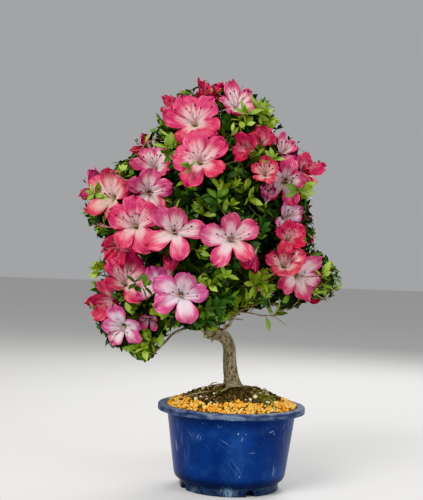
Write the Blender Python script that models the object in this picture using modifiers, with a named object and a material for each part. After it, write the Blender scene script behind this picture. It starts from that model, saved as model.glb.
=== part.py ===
"""An azalea bonsai in bloom, in a round plastic training pot with a foot.

Metres, +Z up, and the show side faces -Y. Sizes are taken from the plant's own zero, the middle of the
pot's underside. One empty carries every piece and sets that zero so that the origin lies under the
middle of the whole plant's box.

The trunk stands on the soil, leans over to the left and forks. Boughs leave it and the leader, each one
tapering limb, and each carries one mass of twigs, leaves and blossom that keeps to its own space.
"""

import math
import random

import bmesh
import bpy
import numpy as np
from mathutils import Vector
from mathutils.bvhtree import BVHTree

NAME = "azalea_bonsai"
ZERO = (0.0313, 0.0025, 0.0)
GAP = 0.0003

# The pot: a rim band, a body that narrows downwards and a foot ring with four notches.
POT_HEIGHT = 0.1010
RIM_RADIUS = 0.0900
RIM_INNER = 0.0808
RIM_BAND = 0.0078
BODY_TOP = 0.0787
BODY_LOW = 0.0683
BODY_LOW_Z = 0.0185
WALL = 0.0037
FLOOR_TOP = 0.0135
FLOOR_UNDER = 0.0095
FOOT_RADIUS = 0.0600
FOOT_HEIGHT = 0.0106
FOOT_WALL = 0.0048
FOOT_DRAFT = 0.0004
FLOOR_CORNER = 0.0040
SHOULDER_IN = 0.0016
SHOULDER_DROP = 0.0050
SHOULDER_FOOT = 0.0030
RIM_EASE = 0.0014
LIP_DROP = 0.0005
TURNS = 32
SMOOTH_UP_TO = math.radians(35)
NOTCH_COUNT = 4
NOTCH_TURN = math.radians(-65.7)
NOTCH_HALF = 0.0062
NOTCH_HEIGHT = 0.0074
NOTCH_SIDES = 10

# The soil: a mound that rises from the rim to the flat that the trunk stands on.
SOIL_TOP = 0.1210
SOIL_SEAT = 0.0165
SOIL_EDGE = 0.0990
SOIL_EDGE_RADIUS = 0.0788
SOIL_BUMP = 0.0011
SOIL_RINGS = 4
SOIL_FALL = 1.5
SOIL_SEED = 5
SOIL_CLEAR = GAP + 0.0004

# The trunk, as (x, y, z, radius): upright, then bent over to its fork on the left.
TRUNK = (
    (0.0000, 0.000, SOIL_TOP + GAP, 0.0126),
    (0.0000, 0.000, 0.1255, 0.0110),
    (-0.0010, 0.000, 0.1310, 0.0097),
    (-0.0025, 0.000, 0.1410, 0.0083),
    (-0.0040, 0.001, 0.1550, 0.0079),
    (-0.0048, 0.001, 0.1670, 0.0077),
    (-0.0070, 0.001, 0.1755, 0.0076),
    (-0.0120, 0.000, 0.1818, 0.0075),
    (-0.0190, -0.001, 0.1850, 0.0072),
    (-0.0275, -0.002, 0.1850, 0.0066),
)
FLARE_HEIGHT = 0.0170
FLARE_LOBES = 5
FLARE_DEPTH = 0.16
FLARE_TURN = 0.6

# The leader winds up through the crown from the top of the bend.
LEADER = (
    (-0.0215, 0.000, 0.1850),
    (-0.0235, 0.010, 0.1975),
    (-0.0130, 0.015, 0.2060),
    (0.0000, 0.014, 0.2170),
    (0.0060, 0.010, 0.2450),
    (-0.0040, 0.004, 0.2850),
    (-0.0200, 0.002, 0.3250),
    (-0.0270, 0.000, 0.3650),
    (-0.0280, 0.000, 0.4060),
)
LEADER_RADII = (0.0058, 0.0024)
LEADER_POINTS = 13
LIMB_POINTS = 5

# Each bough: what it grows from and how far along, its tip, how far it bows up, and its two radii.
BOUGHS = {
    "bough_low_left": ("trunk", 0.98, (-0.084, -0.014, 0.207), 0.004, 0.0050, 0.0030),
    "bough_droop_left": ("bough_low_left", 0.34, (-0.088, -0.030, 0.170), 0.006, 0.0020, 0.0012),
    "bough_low_front": ("trunk", 0.86, (-0.036, -0.050, 0.216), 0.004, 0.0030, 0.0020),
    "bough_low_middle": ("trunk", 0.80, (-0.001, -0.020, 0.210), 0.001, 0.0026, 0.0016),
    "bough_low_right": ("leader", 0.36, (0.053, -0.006, 0.224), -0.004, 0.0030, 0.0020),
    "bough_back_low": ("leader", 0.22, (-0.022, 0.046, 0.226), 0.003, 0.0032, 0.0022),
    "bough_mid_left": ("leader", 0.60, (-0.094, -0.012, 0.312), 0.006, 0.0036, 0.0022),
    "bough_mid_front": ("leader", 0.66, (-0.032, -0.056, 0.306), 0.004, 0.0030, 0.0020),
    "bough_mid_right": ("leader", 0.64, (0.030, -0.008, 0.312), 0.003, 0.0030, 0.0020),
    "bough_back_left": ("leader", 0.68, (-0.070, 0.046, 0.310), 0.004, 0.0034, 0.0022),
    "bough_back_right": ("leader", 0.56, (0.024, 0.048, 0.302), 0.004, 0.0034, 0.0022),
    "bough_upper_left": ("leader", 0.84, (-0.070, -0.014, 0.384), 0.003, 0.0026, 0.0018),
    "bough_upper_front": ("leader", 0.88, (-0.030, -0.048, 0.378), 0.002, 0.0024, 0.0017),
    "bough_upper_right": ("leader", 0.80, (0.024, -0.010, 0.372), 0.003, 0.0026, 0.0018),
    "bough_back_upper": ("leader", 0.90, (-0.026, 0.040, 0.392), 0.002, 0.0026, 0.0018),
}

# Each mass of foliage: the limb that carries it, its middle, its half sizes, its leafy tips and its
# seeded blooms. Together the spaces make the crown.
MASSES = {
    "mass_low_left": ("bough_low_left", (-0.125, -0.022, 0.218), (0.058, 0.066, 0.060), 9, 2),
    "mass_droop_left": ("bough_droop_left", (-0.104, -0.028, 0.155), (0.026, 0.024, 0.019), 2, 0),
    "mass_low_front": ("bough_low_front", (-0.050, -0.085, 0.236), (0.056, 0.055, 0.052), 9, 0),
    "mass_low_middle": ("bough_low_middle", (0.010, -0.038, 0.222), (0.042, 0.038, 0.030), 9, 0),
    "mass_low_right": ("bough_low_right", (0.084, -0.014, 0.249), (0.050, 0.062, 0.048), 12, 1),
    "mass_mid_left": ("bough_mid_left", (-0.135, -0.020, 0.333), (0.062, 0.068, 0.055), 9, 2),
    "mass_mid_front": ("bough_mid_front", (-0.036, -0.090, 0.312), (0.070, 0.056, 0.052), 8, 0),
    "mass_mid_right": ("bough_mid_right", (0.050, -0.020, 0.324), (0.048, 0.062, 0.050), 9, 1),
    "mass_upper_left": ("bough_upper_left", (-0.098, -0.028, 0.402), (0.056, 0.062, 0.044), 9, 1),
    "mass_upper_front": ("bough_upper_front", (-0.032, -0.080, 0.388), (0.058, 0.052, 0.046), 7, 0),
    "mass_upper_right": ("bough_upper_right", (0.052, -0.018, 0.386), (0.046, 0.060, 0.046), 8, 1),
    "mass_top": ("leader", (-0.035, -0.005, 0.447), (0.074, 0.070, 0.048), 12, 2),
    "mass_back_low": ("bough_back_low", (-0.022, 0.080, 0.240), (0.080, 0.062, 0.052), 9, 5),
    "mass_back_left": ("bough_back_left", (-0.098, 0.075, 0.325), (0.066, 0.064, 0.062), 8, 5),
    "mass_back_right": ("bough_back_right", (0.038, 0.080, 0.322), (0.062, 0.062, 0.060), 8, 5),
    "mass_back_upper": ("bough_back_upper", (-0.026, 0.068, 0.408), (0.068, 0.060, 0.052), 8, 5),
}

# The blooms of the show side: mass, place of the face's middle, turn to the right and tilt upwards in
# degrees from facing -Y, width across the lobes when open, and how far each is open.
BLOOMS = (
    ("mass_top", (-0.055, -0.070, 0.439), -8, 20, 0.064, 1.00),
    ("mass_top", (-0.006, -0.030, 0.470), -35, 45, 0.055, 0.80),
    ("mass_top", (-0.044, -0.022, 0.479), -5, 78, 0.055, 0.35),
    ("mass_top", (-0.078, -0.020, 0.454), -45, 40, 0.054, 0.80),
    ("mass_upper_front", (-0.040, -0.120, 0.394), 0, 12, 0.066, 1.00),
    ("mass_upper_front", (0.015, -0.080, 0.408), 10, 30, 0.055, 0.55),
    ("mass_upper_left", (-0.104, -0.068, 0.376), -22, 14, 0.056, 0.85),
    ("mass_upper_left", (-0.090, -0.034, 0.404), -20, 45, 0.050, 0.70),
    ("mass_upper_right", (0.056, -0.060, 0.377), 30, 5, 0.062, 1.00),
    ("mass_upper_right", (0.022, -0.080, 0.380), -5, 30, 0.042, 0.40),
    ("mass_mid_left", (-0.121, -0.096, 0.322), -12, 2, 0.064, 1.00),
    ("mass_mid_left", (-0.163, -0.045, 0.344), -32, 10, 0.064, 1.00),
    ("mass_mid_front", (-0.074, -0.125, 0.309), -3, 3, 0.066, 1.00),
    ("mass_mid_front", (-0.006, -0.125, 0.311), 6, 0, 0.070, 1.00),
    ("mass_mid_front", (0.016, -0.095, 0.276), 50, -10, 0.050, 0.50),
    ("mass_mid_right", (0.036, -0.076, 0.350), 10, 25, 0.032, 0.30),
    ("mass_mid_right", (0.062, -0.036, 0.331), 34, 8, 0.048, 0.90),
    ("mass_mid_right", (0.054, -0.072, 0.309), 25, -12, 0.054, 0.80),
    ("mass_low_front", (-0.061, -0.120, 0.239), 0, -3, 0.068, 1.00),
    ("mass_low_left", (-0.128, -0.070, 0.262), -30, 38, 0.058, 0.90),
    ("mass_low_left", (-0.096, -0.085, 0.247), 0, 20, 0.045, 0.70),
    ("mass_low_left", (-0.154, -0.028, 0.230), -65, -5, 0.052, 0.70),
    ("mass_low_left", (-0.131, -0.062, 0.194), -20, -42, 0.054, 0.80),
    ("mass_low_left", (-0.098, -0.060, 0.206), -5, -25, 0.042, 0.70),
    ("mass_low_right", (0.058, -0.062, 0.270), 45, 5, 0.050, 0.45),
    ("mass_low_right", (0.088, -0.030, 0.250), 70, 0, 0.056, 0.80),
)
SEEDED_BLOOM_WIDTH = (0.054, 0.064)
SEEDED_OPENNESS = (1.0, 1.0, 0.9, 0.7)
SEEDED_TILT = 0.5
BLOOM_TRIES = 120
BLOOM_REACH = 0.86
BLOOM_SKIN = 1.18
SHOW_SIDE = -0.035

# A bloom's places as shares of its width: the lobes' ends, the notches between them, the throat's mouth
# and the depths below the face of the notches, the mouth, the throat's bottom and the twig's end.
LOBES = 5
LOBE_SHOULDER = math.radians(19)
LOBE_REACH = 0.50
NOTCH_REACH = 0.36
NOTCH_DEPTH = 0.04
MOUTH_REACH = 0.13
MOUTH_DEPTH = 0.13
THROAT_DEPTH = 0.24
TWIG_DEPTH = 0.34
SHUT_SPREAD = 0.25
SHUT_FORWARD = 0.20

# A leaf, a twig and a bloom, and how they sit together.
LEAF_LENGTH = (0.020, 0.030)
LEAF_WIDTH = 0.36
LEAF_THICKNESS = 0.030
LEAF_DROOP = 0.10
LEAF_SUNK = 0.0004
LEAF_STEP = 0.0024
LEAF_SKIN = 1.06
LEAF_WIDEST = 0.45
LEAF_LEAN = (40, 65)
LEAF_LEAN_BLOOM = 75
LEAF_ROLL = 0.4
SIDE_LEAVES = (2, 1)
SPARE_TRIES = 3
GOLDEN_TURN = math.tau * 0.382
TWIG_THICK = 0.0014
TWIG_THIN = 0.0010
TWIG_SHORT = 0.022
TWIG_BEND = 0.55
TWIG_SAG = 0.10
SHORTEST_TWIG = 0.006
JOINTS_TRIED = 14
JOINT_SHARE = 0.75
STEM_STRAIGHT = 0.010
STEM_SHARE = 0.6
STEM_JOINTS = (0.35, 0.65, 0.9)
PEDICEL = 0.012
BLOOM_BARE = 0.011
GOALS_A_TIP = 3
WAY_SCATTER = 0.15
MARGIN = 0.04

STREAM = {name: 11 + 7 * number for number, name in enumerate(MASSES)}


def clear_scene():
    for item in list(bpy.data.objects):
        bpy.data.objects.remove(item, do_unlink=True)


def new_collection(name):
    group = bpy.data.collections.new(name)
    bpy.context.scene.collection.children.link(group)
    return group


def plain_material(name, colour, roughness):
    material = bpy.data.materials.new(name)
    material.use_nodes = True
    surface = material.node_tree.nodes["Principled BSDF"]
    surface.inputs["Base Color"].default_value = (*colour, 1.0)
    surface.inputs["Roughness"].default_value = roughness
    surface.inputs["Metallic"].default_value = 0.0
    return material


def new_object(name, mesh, group):
    piece = bpy.data.objects.new(name, mesh)
    group.objects.link(piece)
    return piece


def settled(piece, name, group):
    """The object's mesh with its modifiers or its curve worked out, as a new object in its place."""
    bpy.context.view_layer.update()
    graph = bpy.context.evaluated_depsgraph_get()
    mesh = bpy.data.meshes.new_from_object(piece.evaluated_get(graph))
    mesh.name = name
    form = bmesh.new()
    form.from_mesh(mesh)
    bmesh.ops.remove_doubles(form, verts=form.verts, dist=1e-6)
    form.to_mesh(mesh)
    form.free()
    place = piece.matrix_world.copy()
    bpy.data.objects.remove(piece, do_unlink=True)
    result = new_object(name, mesh, group)
    result.matrix_world = place
    return result


def shaded_round(mesh):
    mesh.shade_smooth()
    mesh.set_sharp_from_angle(angle=SMOOTH_UP_TO)


def turned(name, profile, group):
    """A profile of (radius, height) swept round the Z axis. It runs down the outer side."""
    mesh = bpy.data.meshes.new(name)
    points = [(radius, 0.0, height) for radius, height in profile]
    mesh.from_pydata(points, [(i, i + 1) for i in range(len(points) - 1)], [])
    piece = new_object(name + "_profile", mesh, group)
    screw = piece.modifiers.new("turn", "SCREW")
    screw.steps = TURNS
    screw.render_steps = TURNS
    screw.use_merge_vertices = True
    screw.merge_threshold = 0.0001
    return settled(piece, name, group)


def cut(piece, cutter):
    cutter.hide_render = True
    cutter.display_type = "WIRE"
    modifier = piece.modifiers.new("cut", "BOOLEAN")
    modifier.operation = "DIFFERENCE"
    modifier.object = cutter


def limb(name, points, radii, group, sides=1):
    """A tapering round limb along its points, with flat ends. Sides 1 gives six faces round it, 2 eight."""
    curve = bpy.data.curves.new(name, "CURVE")
    curve.dimensions = "3D"
    curve.bevel_depth = 1.0
    curve.bevel_resolution = sides
    curve.use_fill_caps = True
    spline = curve.splines.new("POLY")
    spline.points.add(len(points) - 1)
    for knot, point, radius in zip(spline.points, points, radii):
        knot.co = (*point, 1.0)
        knot.radius = radius
    piece = new_object(name + "_curve", curve, group)
    return settled(piece, name, group)


def smooth_route(knots, count):
    """Points on a Catmull-Rom curve through the knots, evenly spaced by length."""
    knots = np.array(knots, float)
    padded = np.vstack([2 * knots[0] - knots[1], knots, 2 * knots[-1] - knots[-2]])
    fine = []
    for i in range(len(knots) - 1):
        before, a, b, after = padded[i : i + 4]
        for t in np.linspace(0, 1, 12, endpoint=False):
            fine.append(
                0.5 * (2 * a + (b - before) * t + (2 * before - 5 * a + 4 * b - after) * t**2
                       + (3 * a - before - 3 * b + after) * t**3)
            )
    fine = np.array(fine + [knots[-1]])
    along = np.concatenate([[0], np.cumsum(np.linalg.norm(np.diff(fine, axis=0), axis=1))])
    wanted = np.linspace(0, along[-1], count)
    return np.column_stack([np.interp(wanted, along, fine[:, axis]) for axis in range(3)])


def bowed(start, tip, bow, count):
    """Points from start to tip that rise above the straight line by the bow at the middle."""
    t = np.linspace(0, 1, count)[:, None]
    lift = np.array([0.0, 0.0, 1.0]) * bow
    return (1 - t) * np.array(start) + t * np.array(tip) + 4 * t * (1 - t) * lift


def at(route, share):
    """The point this share of the way along a route, counted in its points."""
    place = share * (len(route) - 1)
    low = min(int(place), len(route) - 2)
    return route[low] + (place - low) * (route[low + 1] - route[low])


def make_pot(group, cutters, material):
    inner_low = BODY_LOW - WALL
    inner_top = BODY_TOP - WALL
    band_z = POT_HEIGHT - RIM_BAND
    profile = (
        (0.0, FLOOR_TOP),
        (inner_low - FLOOR_CORNER, FLOOR_TOP),
        (inner_low, BODY_LOW_Z),
        (inner_top, band_z - 0.0010),
        (RIM_INNER, POT_HEIGHT - LIP_DROP),
        (RIM_RADIUS - RIM_EASE, POT_HEIGHT),
        (RIM_RADIUS, POT_HEIGHT - RIM_EASE),
        (RIM_RADIUS, band_z),
        (BODY_TOP, band_z),
        (BODY_LOW, BODY_LOW_Z),
        (BODY_LOW - SHOULDER_IN, BODY_LOW_Z - SHOULDER_DROP),
        (FOOT_RADIUS + SHOULDER_FOOT, FOOT_HEIGHT),
        (FOOT_RADIUS + FOOT_DRAFT, FOOT_HEIGHT - 0.0002),
        (FOOT_RADIUS, 0.0),
        (FOOT_RADIUS - FOOT_WALL, 0.0),
        (FOOT_RADIUS - FOOT_WALL - FOOT_DRAFT, FLOOR_UNDER),
        (0.0, FLOOR_UNDER),
    )
    pot = turned("pot", profile, group)
    middle = FOOT_RADIUS - FOOT_WALL / 2
    for number in range(NOTCH_COUNT):
        angle = NOTCH_TURN + number * math.tau / NOTCH_COUNT
        form = bmesh.new()
        bmesh.ops.create_cone(
            form, cap_ends=True, segments=NOTCH_SIDES, radius1=1.0, radius2=1.0, depth=1.0
        )
        mesh = bpy.data.meshes.new("notch")
        form.to_mesh(mesh)
        form.free()
        cutter = new_object("notch_%d" % number, mesh, cutters)
        cutter.location = (middle * math.cos(angle), middle * math.sin(angle), 0.0)
        cutter.rotation_euler = (math.pi / 2, 0.0, angle + math.pi / 2)
        cutter.scale = (NOTCH_HALF, NOTCH_HEIGHT, FOOT_WALL * 3)
        cut(pot, cutter)
    pot = settled(pot, "pot", group)
    pot.data.materials.clear()
    pot.data.materials.append(material)
    shaded_round(pot.data)


def make_soil(group, material):
    """A mound that fills the pot, clear of its wall, with its top a little uneven."""
    inner_low = BODY_LOW - WALL - SOIL_CLEAR
    inner_top = BODY_TOP - WALL - SOIL_CLEAR
    under = FLOOR_TOP + SOIL_CLEAR
    profile = [(0.0, SOIL_TOP), (SOIL_SEAT, SOIL_TOP)]
    for ring in range(1, SOIL_RINGS + 1):
        share = ring / (SOIL_RINGS + 1)
        radius = SOIL_SEAT + share * (SOIL_EDGE_RADIUS - SOIL_SEAT)
        profile.append((radius, SOIL_TOP - (SOIL_TOP - SOIL_EDGE) * share**SOIL_FALL))
    profile += [
        (SOIL_EDGE_RADIUS, SOIL_EDGE),
        (inner_top, POT_HEIGHT - RIM_BAND - 0.0012),
        (inner_low, BODY_LOW_Z + GAP),
        (inner_low - FLOOR_CORNER, under),
        (0.0, under),
    ]
    soil = turned("soil", profile, group)
    chance = random.Random(SOIL_SEED)
    for vertex in soil.data.vertices:
        radius = math.hypot(vertex.co.x, vertex.co.y)
        if vertex.co.z > SOIL_EDGE + SOIL_BUMP and radius > SOIL_SEAT + SOIL_BUMP:
            vertex.co.z += chance.uniform(-SOIL_BUMP, SOIL_BUMP)
    soil.data.materials.append(material)
    shaded_round(soil.data)


def make_trunk(group, material):
    trunk = limb("trunk", [knot[:3] for knot in TRUNK], [knot[3] for knot in TRUNK], group, sides=3)
    foot = TRUNK[0]
    for vertex in trunk.data.vertices:
        drop = 1 - (vertex.co.z - foot[2]) / FLARE_HEIGHT
        if 0 < drop and abs(vertex.co.x - foot[0]) < 2 * foot[3]:
            turn = math.atan2(vertex.co.y, vertex.co.x)
            swell = 1 + FLARE_DEPTH * drop**2 * math.cos(FLARE_LOBES * turn + FLARE_TURN)
            vertex.co.x *= swell
            vertex.co.y *= swell
    trunk.data.materials.append(material)
    shaded_round(trunk.data)
    return trunk


def grown_clear(name, points, radii, parent_route, parent_radii, group, cutters, material):
    """A limb whose foot is cut to its parent's round side or end, a hair clear of it."""
    piece = limb(name, points, radii, group)
    wider = [radius + GAP for radius in parent_radii]
    end = parent_route[-1] - parent_route[-2]
    longer = np.vstack([parent_route[:-1], parent_route[-1] + GAP * end / np.linalg.norm(end)])
    cut(piece, limb(name + "_saddle", longer, wider, cutters, sides=3))
    piece = settled(piece, name, group)
    keep_main_body(piece.data)
    piece.data.materials.append(material)
    shaded_round(piece.data)
    return piece


def keep_main_body(mesh):
    """Drops loose scraps and fills sealed hollows: only the body with the largest volume stays."""
    form = bmesh.new()
    form.from_mesh(mesh)
    bmesh.ops.triangulate(form, faces=form.faces)
    form.faces.ensure_lookup_table()
    left = set(form.faces)
    bodies = []
    while left:
        stack = [left.pop()]
        body = list(stack)
        while stack:
            face = stack.pop()
            for edge in face.edges:
                for other in edge.link_faces:
                    if other in left:
                        left.discard(other)
                        stack.append(other)
                        body.append(other)
        volume = sum(
            face.verts[0].co.dot(face.verts[1].co.cross(face.verts[2].co)) / 6 for face in body
        )
        bodies.append((volume, body))
    bodies.sort(key=lambda entry: -entry[0])
    for _, body in bodies[1:]:
        bmesh.ops.delete(form, geom=body, context="FACES")
    loose = [vertex for vertex in form.verts if not vertex.link_faces]
    bmesh.ops.delete(form, geom=loose, context="VERTS")
    form.to_mesh(mesh)
    form.free()
    return len(bodies) - 1


def facing(turn, tilt):
    """The direction turned to the right and tilted up, in degrees, from facing -Y."""
    turn, tilt = math.radians(turn), math.radians(tilt)
    return np.array([math.sin(turn) * math.cos(tilt), -math.cos(turn) * math.cos(tilt), math.sin(tilt)])


def frame_along(axis):
    """Two directions square to the axis and to each other, the second as near straight up as it can be."""
    side = np.cross(axis, (0.0, 0.0, 1.0))
    if np.linalg.norm(side) < 0.1:
        side = np.cross(axis, (0.0, 1.0, 0.0))
    side /= np.linalg.norm(side)
    return side, np.cross(side, axis)


def tube(points, radii, first_turn):
    """Rings of three corners along the points, carried back from the last one without a twist.

    A corner's turn is counted clockwise from up, seen along the tube. The foot is closed, the end open.
    """
    points = np.array(points)
    rings = []
    side = None
    for i in range(len(points) - 1, -1, -1):
        heading = points[min(i + 1, len(points) - 1)] - points[max(i - 1, 0)]
        heading /= np.linalg.norm(heading)
        side = frame_along(heading)[0] if side is None else side - heading * side.dot(heading)
        side /= np.linalg.norm(side)
        up = np.cross(side, heading)
        turns = [first_turn + math.tau * corner / 3 for corner in range(3)]
        rings = [points[i] + radii[i] * (math.cos(t) * up + math.sin(t) * side) for t in turns] + rings
    faces = [(0, 1, 2)]
    for i in range(len(points) - 1):
        for corner in range(3):
            a, b = 3 * i + corner, 3 * i + (corner + 1) % 3
            faces += [(a, b + 3, b), (a, a + 3, b + 3)]
    return rings, faces


def stick(points, radii):
    """A three-sided stick with flat ends."""
    rings, faces = tube(points, radii, 0.0)
    last = len(rings) - 3
    return np.array(rings), faces + [(last, last + 2, last + 1)]


def blade_points(root, axis, side, up, length):
    """The widest places of a leaf, left, under and right of its rib, and its drooping tip."""
    middle = root + LEAF_WIDEST * length * axis
    half = 0.5 * LEAF_WIDTH * length
    under = middle - up * LEAF_THICKNESS * length
    tip = root + length * axis - up * LEAF_DROOP * length
    return [middle - side * half, under, middle + side * half, tip]


def leafy_twig(points, radii, length):
    """A twig whose end runs on into a leaf: its last ring opens to the leaf's widest place."""
    rings, faces = tube(points, radii, math.pi / 3)
    last = len(rings) - 3
    axis = points[-1] - points[-2]
    axis = axis / np.linalg.norm(axis)
    side, up = frame_along(axis)
    left, under, right, tip = blade_points(points[-1], axis, side, up, length)
    rings += [right, under, left, tip]
    for corner in range(3):
        a, b = last + corner, last + (corner + 1) % 3
        faces += [(a, b + 3, b), (a, a + 3, b + 3), (b + 3, a + 3, last + 6)]
    return np.array(rings), faces


def leaf(root, axis, length, roll):
    """A side leaf of six faces: a root and a tip joined over the three widest places."""
    side, up = frame_along(axis)
    side, up = math.cos(roll) * side + math.sin(roll) * up, math.cos(roll) * up - math.sin(roll) * side
    left, under, right, tip = blade_points(root, axis, side, up, length)
    faces = []
    for a, b in ((1, 2), (2, 3), (3, 1)):
        faces += [(0, a, b), (4, b, a)]
    return np.array([root, left, under, right, tip]), faces


def flowering_twig(points, radii, bloom):
    """A twig whose end opens into a bloom of five lobes.

    Its last ring is lofted to the rim, three points a lobe, and the front goes from the rim over a ring
    of five to the throat. A half-open bloom has its rim drawn in and forward.
    """
    _, place, axis, width, openness = bloom
    rings, faces = tube(points, radii, 0.0)
    last = len(rings) - 3
    side, up = frame_along(axis)
    spread = SHUT_SPREAD + (1 - SHUT_SPREAD) * openness
    forward = SHUT_FORWARD * (1 - openness)

    def at_turn(reach, turn, height):
        out = math.sin(turn) * side + math.cos(turn) * up
        return place + axis * (height * width) + out * reach * width * spread

    rim = []
    for lobe in range(LOBES):
        middle = math.tau * lobe / LOBES
        rim.append(at_turn(NOTCH_REACH, middle - math.pi / LOBES, forward - NOTCH_DEPTH))
        rim.append(at_turn(LOBE_REACH, middle - LOBE_SHOULDER, forward))
        rim.append(at_turn(LOBE_REACH, middle + LOBE_SHOULDER, forward))
    mouth = [at_turn(MOUTH_REACH, math.tau * lobe / LOBES, -MOUTH_DEPTH) for lobe in range(LOBES)]
    rings += rim + mouth + [place - axis * THROAT_DEPTH * width]
    first = last + 3
    inner = first + len(rim)
    for corner in range(3):
        edge = [first + (len(rim) - 1 + 5 * corner + step) % len(rim) for step in range(6)]
        foot = last + corner
        faces += [(foot, edge[step], edge[step + 1]) for step in range(5)]
        faces.append((foot, edge[5], last + (corner + 1) % 3))
    for lobe in range(LOBES):
        here, there = inner + lobe, inner + (lobe + 1) % LOBES
        edge = [first + (3 * lobe + step) % len(rim) for step in range(4)]
        faces += [(here, edge[step + 1], edge[step]) for step in range(3)]
        faces += [(here, there, edge[3]), (inner + LOBES, there, here)]
    return np.array(rings), faces


def bloom_foot(bloom):
    return bloom[1] - bloom[2] * TWIG_DEPTH * bloom[3]


def shell_of(bloom):
    """The bloom on a stub of its twig, for finding what it would touch."""
    foot = bloom_foot(bloom)
    return flowering_twig([foot - bloom[2] * 0.002, foot], (TWIG_THIN, TWIG_THIN), bloom)


def depth_in(name, points):
    """How deep points lie in a mass's space: 0 at its middle and 1 at its skin."""
    _, middle, half, _, _ = MASSES[name]
    return np.linalg.norm((np.atleast_2d(points) - middle) / np.array(half), axis=1)


def in_space(name, points, skin=1.0):
    """Whether all the points lie in this mass's space and clear of its neighbours' nearer ones."""
    own = depth_in(name, points)
    if own.max() > skin:
        return False
    return all((depth_in(other, points) > own + MARGIN).all() for other in MASSES if other != name)


def golden_directions(count, chance):
    """Directions spread over the sphere by the golden angle, each a little off its place, then shuffled."""
    found = []
    for i in range(count):
        height = 1 - 2 * (i + 0.5) / count
        turn = i * math.pi * (3 - math.sqrt(5))
        level = math.sqrt(1 - height * height)
        way = np.array([level * math.cos(turn), level * math.sin(turn), height])
        way += np.array([chance.uniform(-WAY_SCATTER, WAY_SCATTER) for _ in range(3)])
        found.append(way / np.linalg.norm(way))
    chance.shuffle(found)
    return found


def tree_of(piece):
    return BVHTree.FromPolygons([Vector(point) for point in piece[0]], piece[1])


def touches(piece, obstacles):
    own = tree_of(piece)
    return any(own.overlap(other) for other in obstacles)


def seeded_blooms(name, placed, obstacles):
    """Blooms spread over the mass's own outer skin that touch neither a limb nor another bloom."""
    _, middle, half, _, wanted = MASSES[name]
    chance = random.Random(STREAM[name])
    found = []
    for way in golden_directions(BLOOM_TRIES, chance):
        place = np.array(middle) + way * half * BLOOM_REACH
        width = chance.uniform(*SEEDED_BLOOM_WIDTH)
        openness = chance.choice(SEEDED_OPENNESS)
        if len(found) == wanted:
            break
        if place[1] < SHOW_SIDE:
            continue
        axis = way * (1.0, 1.0, SEEDED_TILT)
        bloom = (name, place, axis / np.linalg.norm(axis), width, openness)
        shell = shell_of(bloom)
        if not in_space(name, shell[0], BLOOM_SKIN) or not in_space(name, place):
            continue
        others = [tree_of(shell_of(other)) for other in placed + found]
        if not touches(shell, obstacles + others):
            found.append(bloom)
    return found


def all_blooms(obstacles):
    """Every bloom as (mass, place, axis, width, openness), those of the show side first."""
    placed = []
    for name, place, turn, tilt, width, openness in BLOOMS:
        placed.append((name, np.array(place), facing(turn, tilt), width, openness))
    for name in MASSES:
        placed += seeded_blooms(name, placed, obstacles)
    return placed


def clear_twig(name, goal, way, bloom, length, joints, trees, foes):
    """The twig to this goal from the nearest joint that has a clear way, with its bend, or None.

    The bend to a bloom lies straight behind it, and the bend to a leafy tip sags a little.
    """
    nearest = sorted(joints, key=lambda entry: np.linalg.norm(entry[0] - goal))
    for joint, owner, thick in nearest if bloom else nearest[:JOINTS_TRIED]:
        span = goal - joint
        reach = np.linalg.norm(span)
        if reach < SHORTEST_TWIG:
            continue
        radii = (thick * 0.5, TWIG_THICK, TWIG_THIN)
        if bloom:
            bend = goal - way * min(PEDICEL, 0.45 * reach)
            grown = flowering_twig([joint, bend, goal], radii, bloom)
        else:
            bend = joint + TWIG_BEND * span - np.array([0, 0, TWIG_SAG]) * reach
            grown = leafy_twig([joint, bend, goal], radii, length)
            if not in_space(name, grown[0][3:], LEAF_SKIN):
                continue
        others = [tree for number, tree in enumerate(trees) if number != owner]
        if not touches(grown, foes + others):
            return grown, (joint, bend, goal)
    return None


def back_along(points, back):
    """The place this far back from a twig's end, and the twig's heading there."""
    for a, b in zip(points[-2::-1], points[:0:-1]):
        reach = np.linalg.norm(b - a)
        heading = (b - a) / reach
        if back < reach:
            return b - heading * back, heading
        back -= reach
    return points[0], heading


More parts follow.
